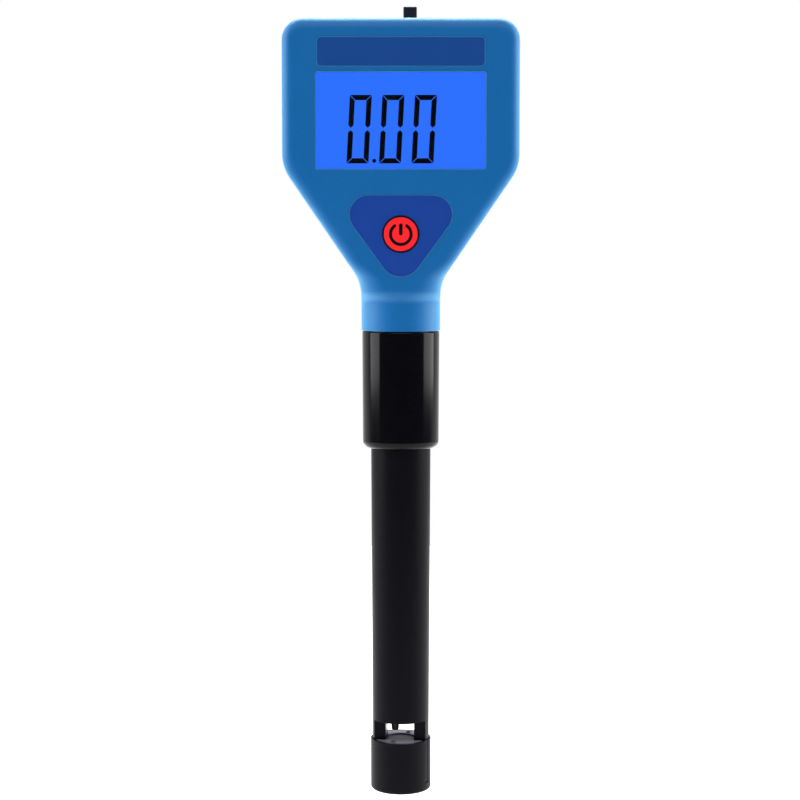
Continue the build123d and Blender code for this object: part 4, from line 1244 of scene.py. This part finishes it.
@dataclass
class Studio:
    """The floor, the light and the camera."""

    camera_place: tuple[float, float, float] = (0.0, -382.04, 109.76)
    camera_pitch: float = 4.514
    lens: float = 85.5
    centre_shift: float = -0.001
    sensor_width: float = 36.0
    floor_radius: float = 420.0
    floor_height: float = -16.0

    def camera(self) -> None:
        """Makes the camera at the photograph's place and makes it the scene's."""
        data = bpy.data.cameras.new("camera")
        data.lens = self.lens
        data.sensor_width = self.sensor_width
        data.sensor_fit = "HORIZONTAL"
        data.shift_x = self.centre_shift
        data.clip_start = 0.01
        camera = bpy.data.objects.new("camera", data)
        camera.location = tuple(number * MM for number in self.camera_place)
        camera.rotation_euler = (math.radians(90.0 - self.camera_pitch), 0.0, 0.0)
        bpy.context.scene.collection.objects.link(camera)
        bpy.context.scene.camera = camera

    def floor(self) -> None:
        """Makes the pale floor, a disc low enough for the foot cap to be pulled off."""
        rings = np.array([[0.0, 0.0], [120.0, 0.0], [260.0, 0.0], [self.floor_radius, 0.0]])
        piece = turned_piece("floor", rings[::-1], 64, (0.0, 0.0, self.floor_height))
        material, sheet, shader, _ = start_material("pale_floor")
        shader.inputs["Base Color"].default_value = (0.86, 0.86, 0.86, 1.0)
        shader.inputs["Roughness"].default_value = 0.9
        shader.inputs["Specular IOR Level"].default_value = 0.1
        path = sheet.add("ShaderNodeLightPath")
        shown = sheet.math("MULTIPLY", path.outputs["Is Camera Ray"], 0.4)
        glow = sheet.add("ShaderNodeEmission")
        sheet.join(shown, glow.inputs["Strength"])
        total = sheet.add("ShaderNodeAddShader")
        sheet.join(shader.outputs["BSDF"], total.inputs[0])
        sheet.join(glow.outputs[0], total.inputs[1])
        output = next(node for node in sheet.tree.nodes if node.type == "OUTPUT_MATERIAL")
        sheet.join(total.outputs[0], output.inputs["Surface"])
        piece.data.materials.append(material)

    def world(self) -> None:
        """Makes the surrounding light: pale behind and beside the object, dim in front."""
        world = bpy.data.worlds.new("studio")
        bpy.context.scene.world = world
        world.use_nodes = True
        world.node_tree.nodes.clear()
        sheet = Sheet(world.node_tree)
        place = sheet.add("ShaderNodeTexCoord")
        split = sheet.add("ShaderNodeSeparateXYZ")
        sheet.join(place.outputs["Generated"], split.inputs[0])
        depth = sheet.add("ShaderNodeMapRange", interpolation_type="SMOOTHSTEP")
        sheet.join(split.outputs["Y"], depth.inputs["Value"])
        depth.inputs["From Min"].default_value = 0.0
        depth.inputs["From Max"].default_value = 0.55
        depth.inputs["To Min"].default_value = 0.03
        depth.inputs["To Max"].default_value = 1.0
        height = sheet.add("ShaderNodeMapRange", interpolation_type="SMOOTHSTEP")
        sheet.join(split.outputs["Z"], height.inputs["Value"])
        height.inputs["From Min"].default_value = 0.25
        height.inputs["From Max"].default_value = 0.7
        height.inputs["To Min"].default_value = 0.0
        height.inputs["To Max"].default_value = 0.32
        light = sheet.math("MAXIMUM", depth.outputs["Result"], height.outputs["Result"])
        path = sheet.add("ShaderNodeLightPath")
        strength = sheet.math("MAXIMUM", light, path.outputs["Is Camera Ray"])
        background = sheet.add("ShaderNodeBackground")
        background.inputs["Color"].default_value = (1.0, 1.0, 1.0, 1.0)
        sheet.join(strength, background.inputs["Strength"])
        output = sheet.add("ShaderNodeOutputWorld")
        sheet.join(background.outputs[0], output.inputs["Surface"])

    def lamp(
        self,
        name: str,
        place: tuple[float, float, float],
        target: tuple[float, float, float],
        size: tuple[float, float],
        power: float,
    ) -> None:
        """Makes a soft box lamp.

        Args:
            name: Name of the lamp.
            place: Its place in millimetres.
            target: The point that it faces, in millimetres.
            size: Its width and height in millimetres.
            power: Its power in watts.
        """
        data = bpy.data.lights.new(name, "AREA")
        data.shape = "RECTANGLE"
        data.size = size[0] * MM
        data.size_y = size[1] * MM
        data.energy = power
        lamp = bpy.data.objects.new(name, data)
        start = np.array(place)
        aim = (np.array(target) - start) / np.linalg.norm(np.array(target) - start)
        lamp.location = tuple(start * MM)
        yaw = math.atan2(aim[0], -aim[1])
        tilt = math.acos(-aim[2])
        lamp.rotation_euler = (tilt, 0.0, yaw + math.pi)
        bpy.context.scene.collection.objects.link(lamp)

    def lamps(self) -> None:
        """Makes the two tall side boxes and the broad box above the front."""
        middle = (0.0, 0.0, 90.0)
        self.lamp("left_box", (-520.0, -50.0, 290.0), (0.0, 0.0, 290.0), (330.0, 500.0), 3.1)
        self.lamp("right_box", (520.0, 30.0, 290.0), (0.0, 0.0, 290.0), (400.0, 500.0), 3.6)
        self.lamp("front_box", (0.0, -480.0, 640.0), middle, (700.0, 420.0), 2.9)
        self.lamp("top_box", (0.0, 260.0, 560.0), (0.0, 0.0, 150.0), (500.0, 260.0), 4.5)

    def build(self) -> None:
        """Builds the stage."""
        self.camera()
        self.floor()
        self.world()
        self.lamps()
        bpy.context.scene.view_settings.view_transform = "Standard"


def main() -> None:
    """Loads the frame, builds each sub-assembly in order and stages the picture."""
    logging.basicConfig(level=logging.INFO, format="%(message)s")
    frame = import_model()
    palette = Palette()
    nodes = frame["nodes"]
    for assembly in (
        Head(palette, nodes),
        CaseScrews(palette, nodes),
        Display(palette, nodes),
        PanelRims(palette, nodes),
        PowerMark(palette, nodes),
        Probe(palette, nodes),
    ):
        assembly.build()
        LOG.info("built %s", type(assembly).__name__)
    Studio().build()


if __name__ == "__main__":
    main()
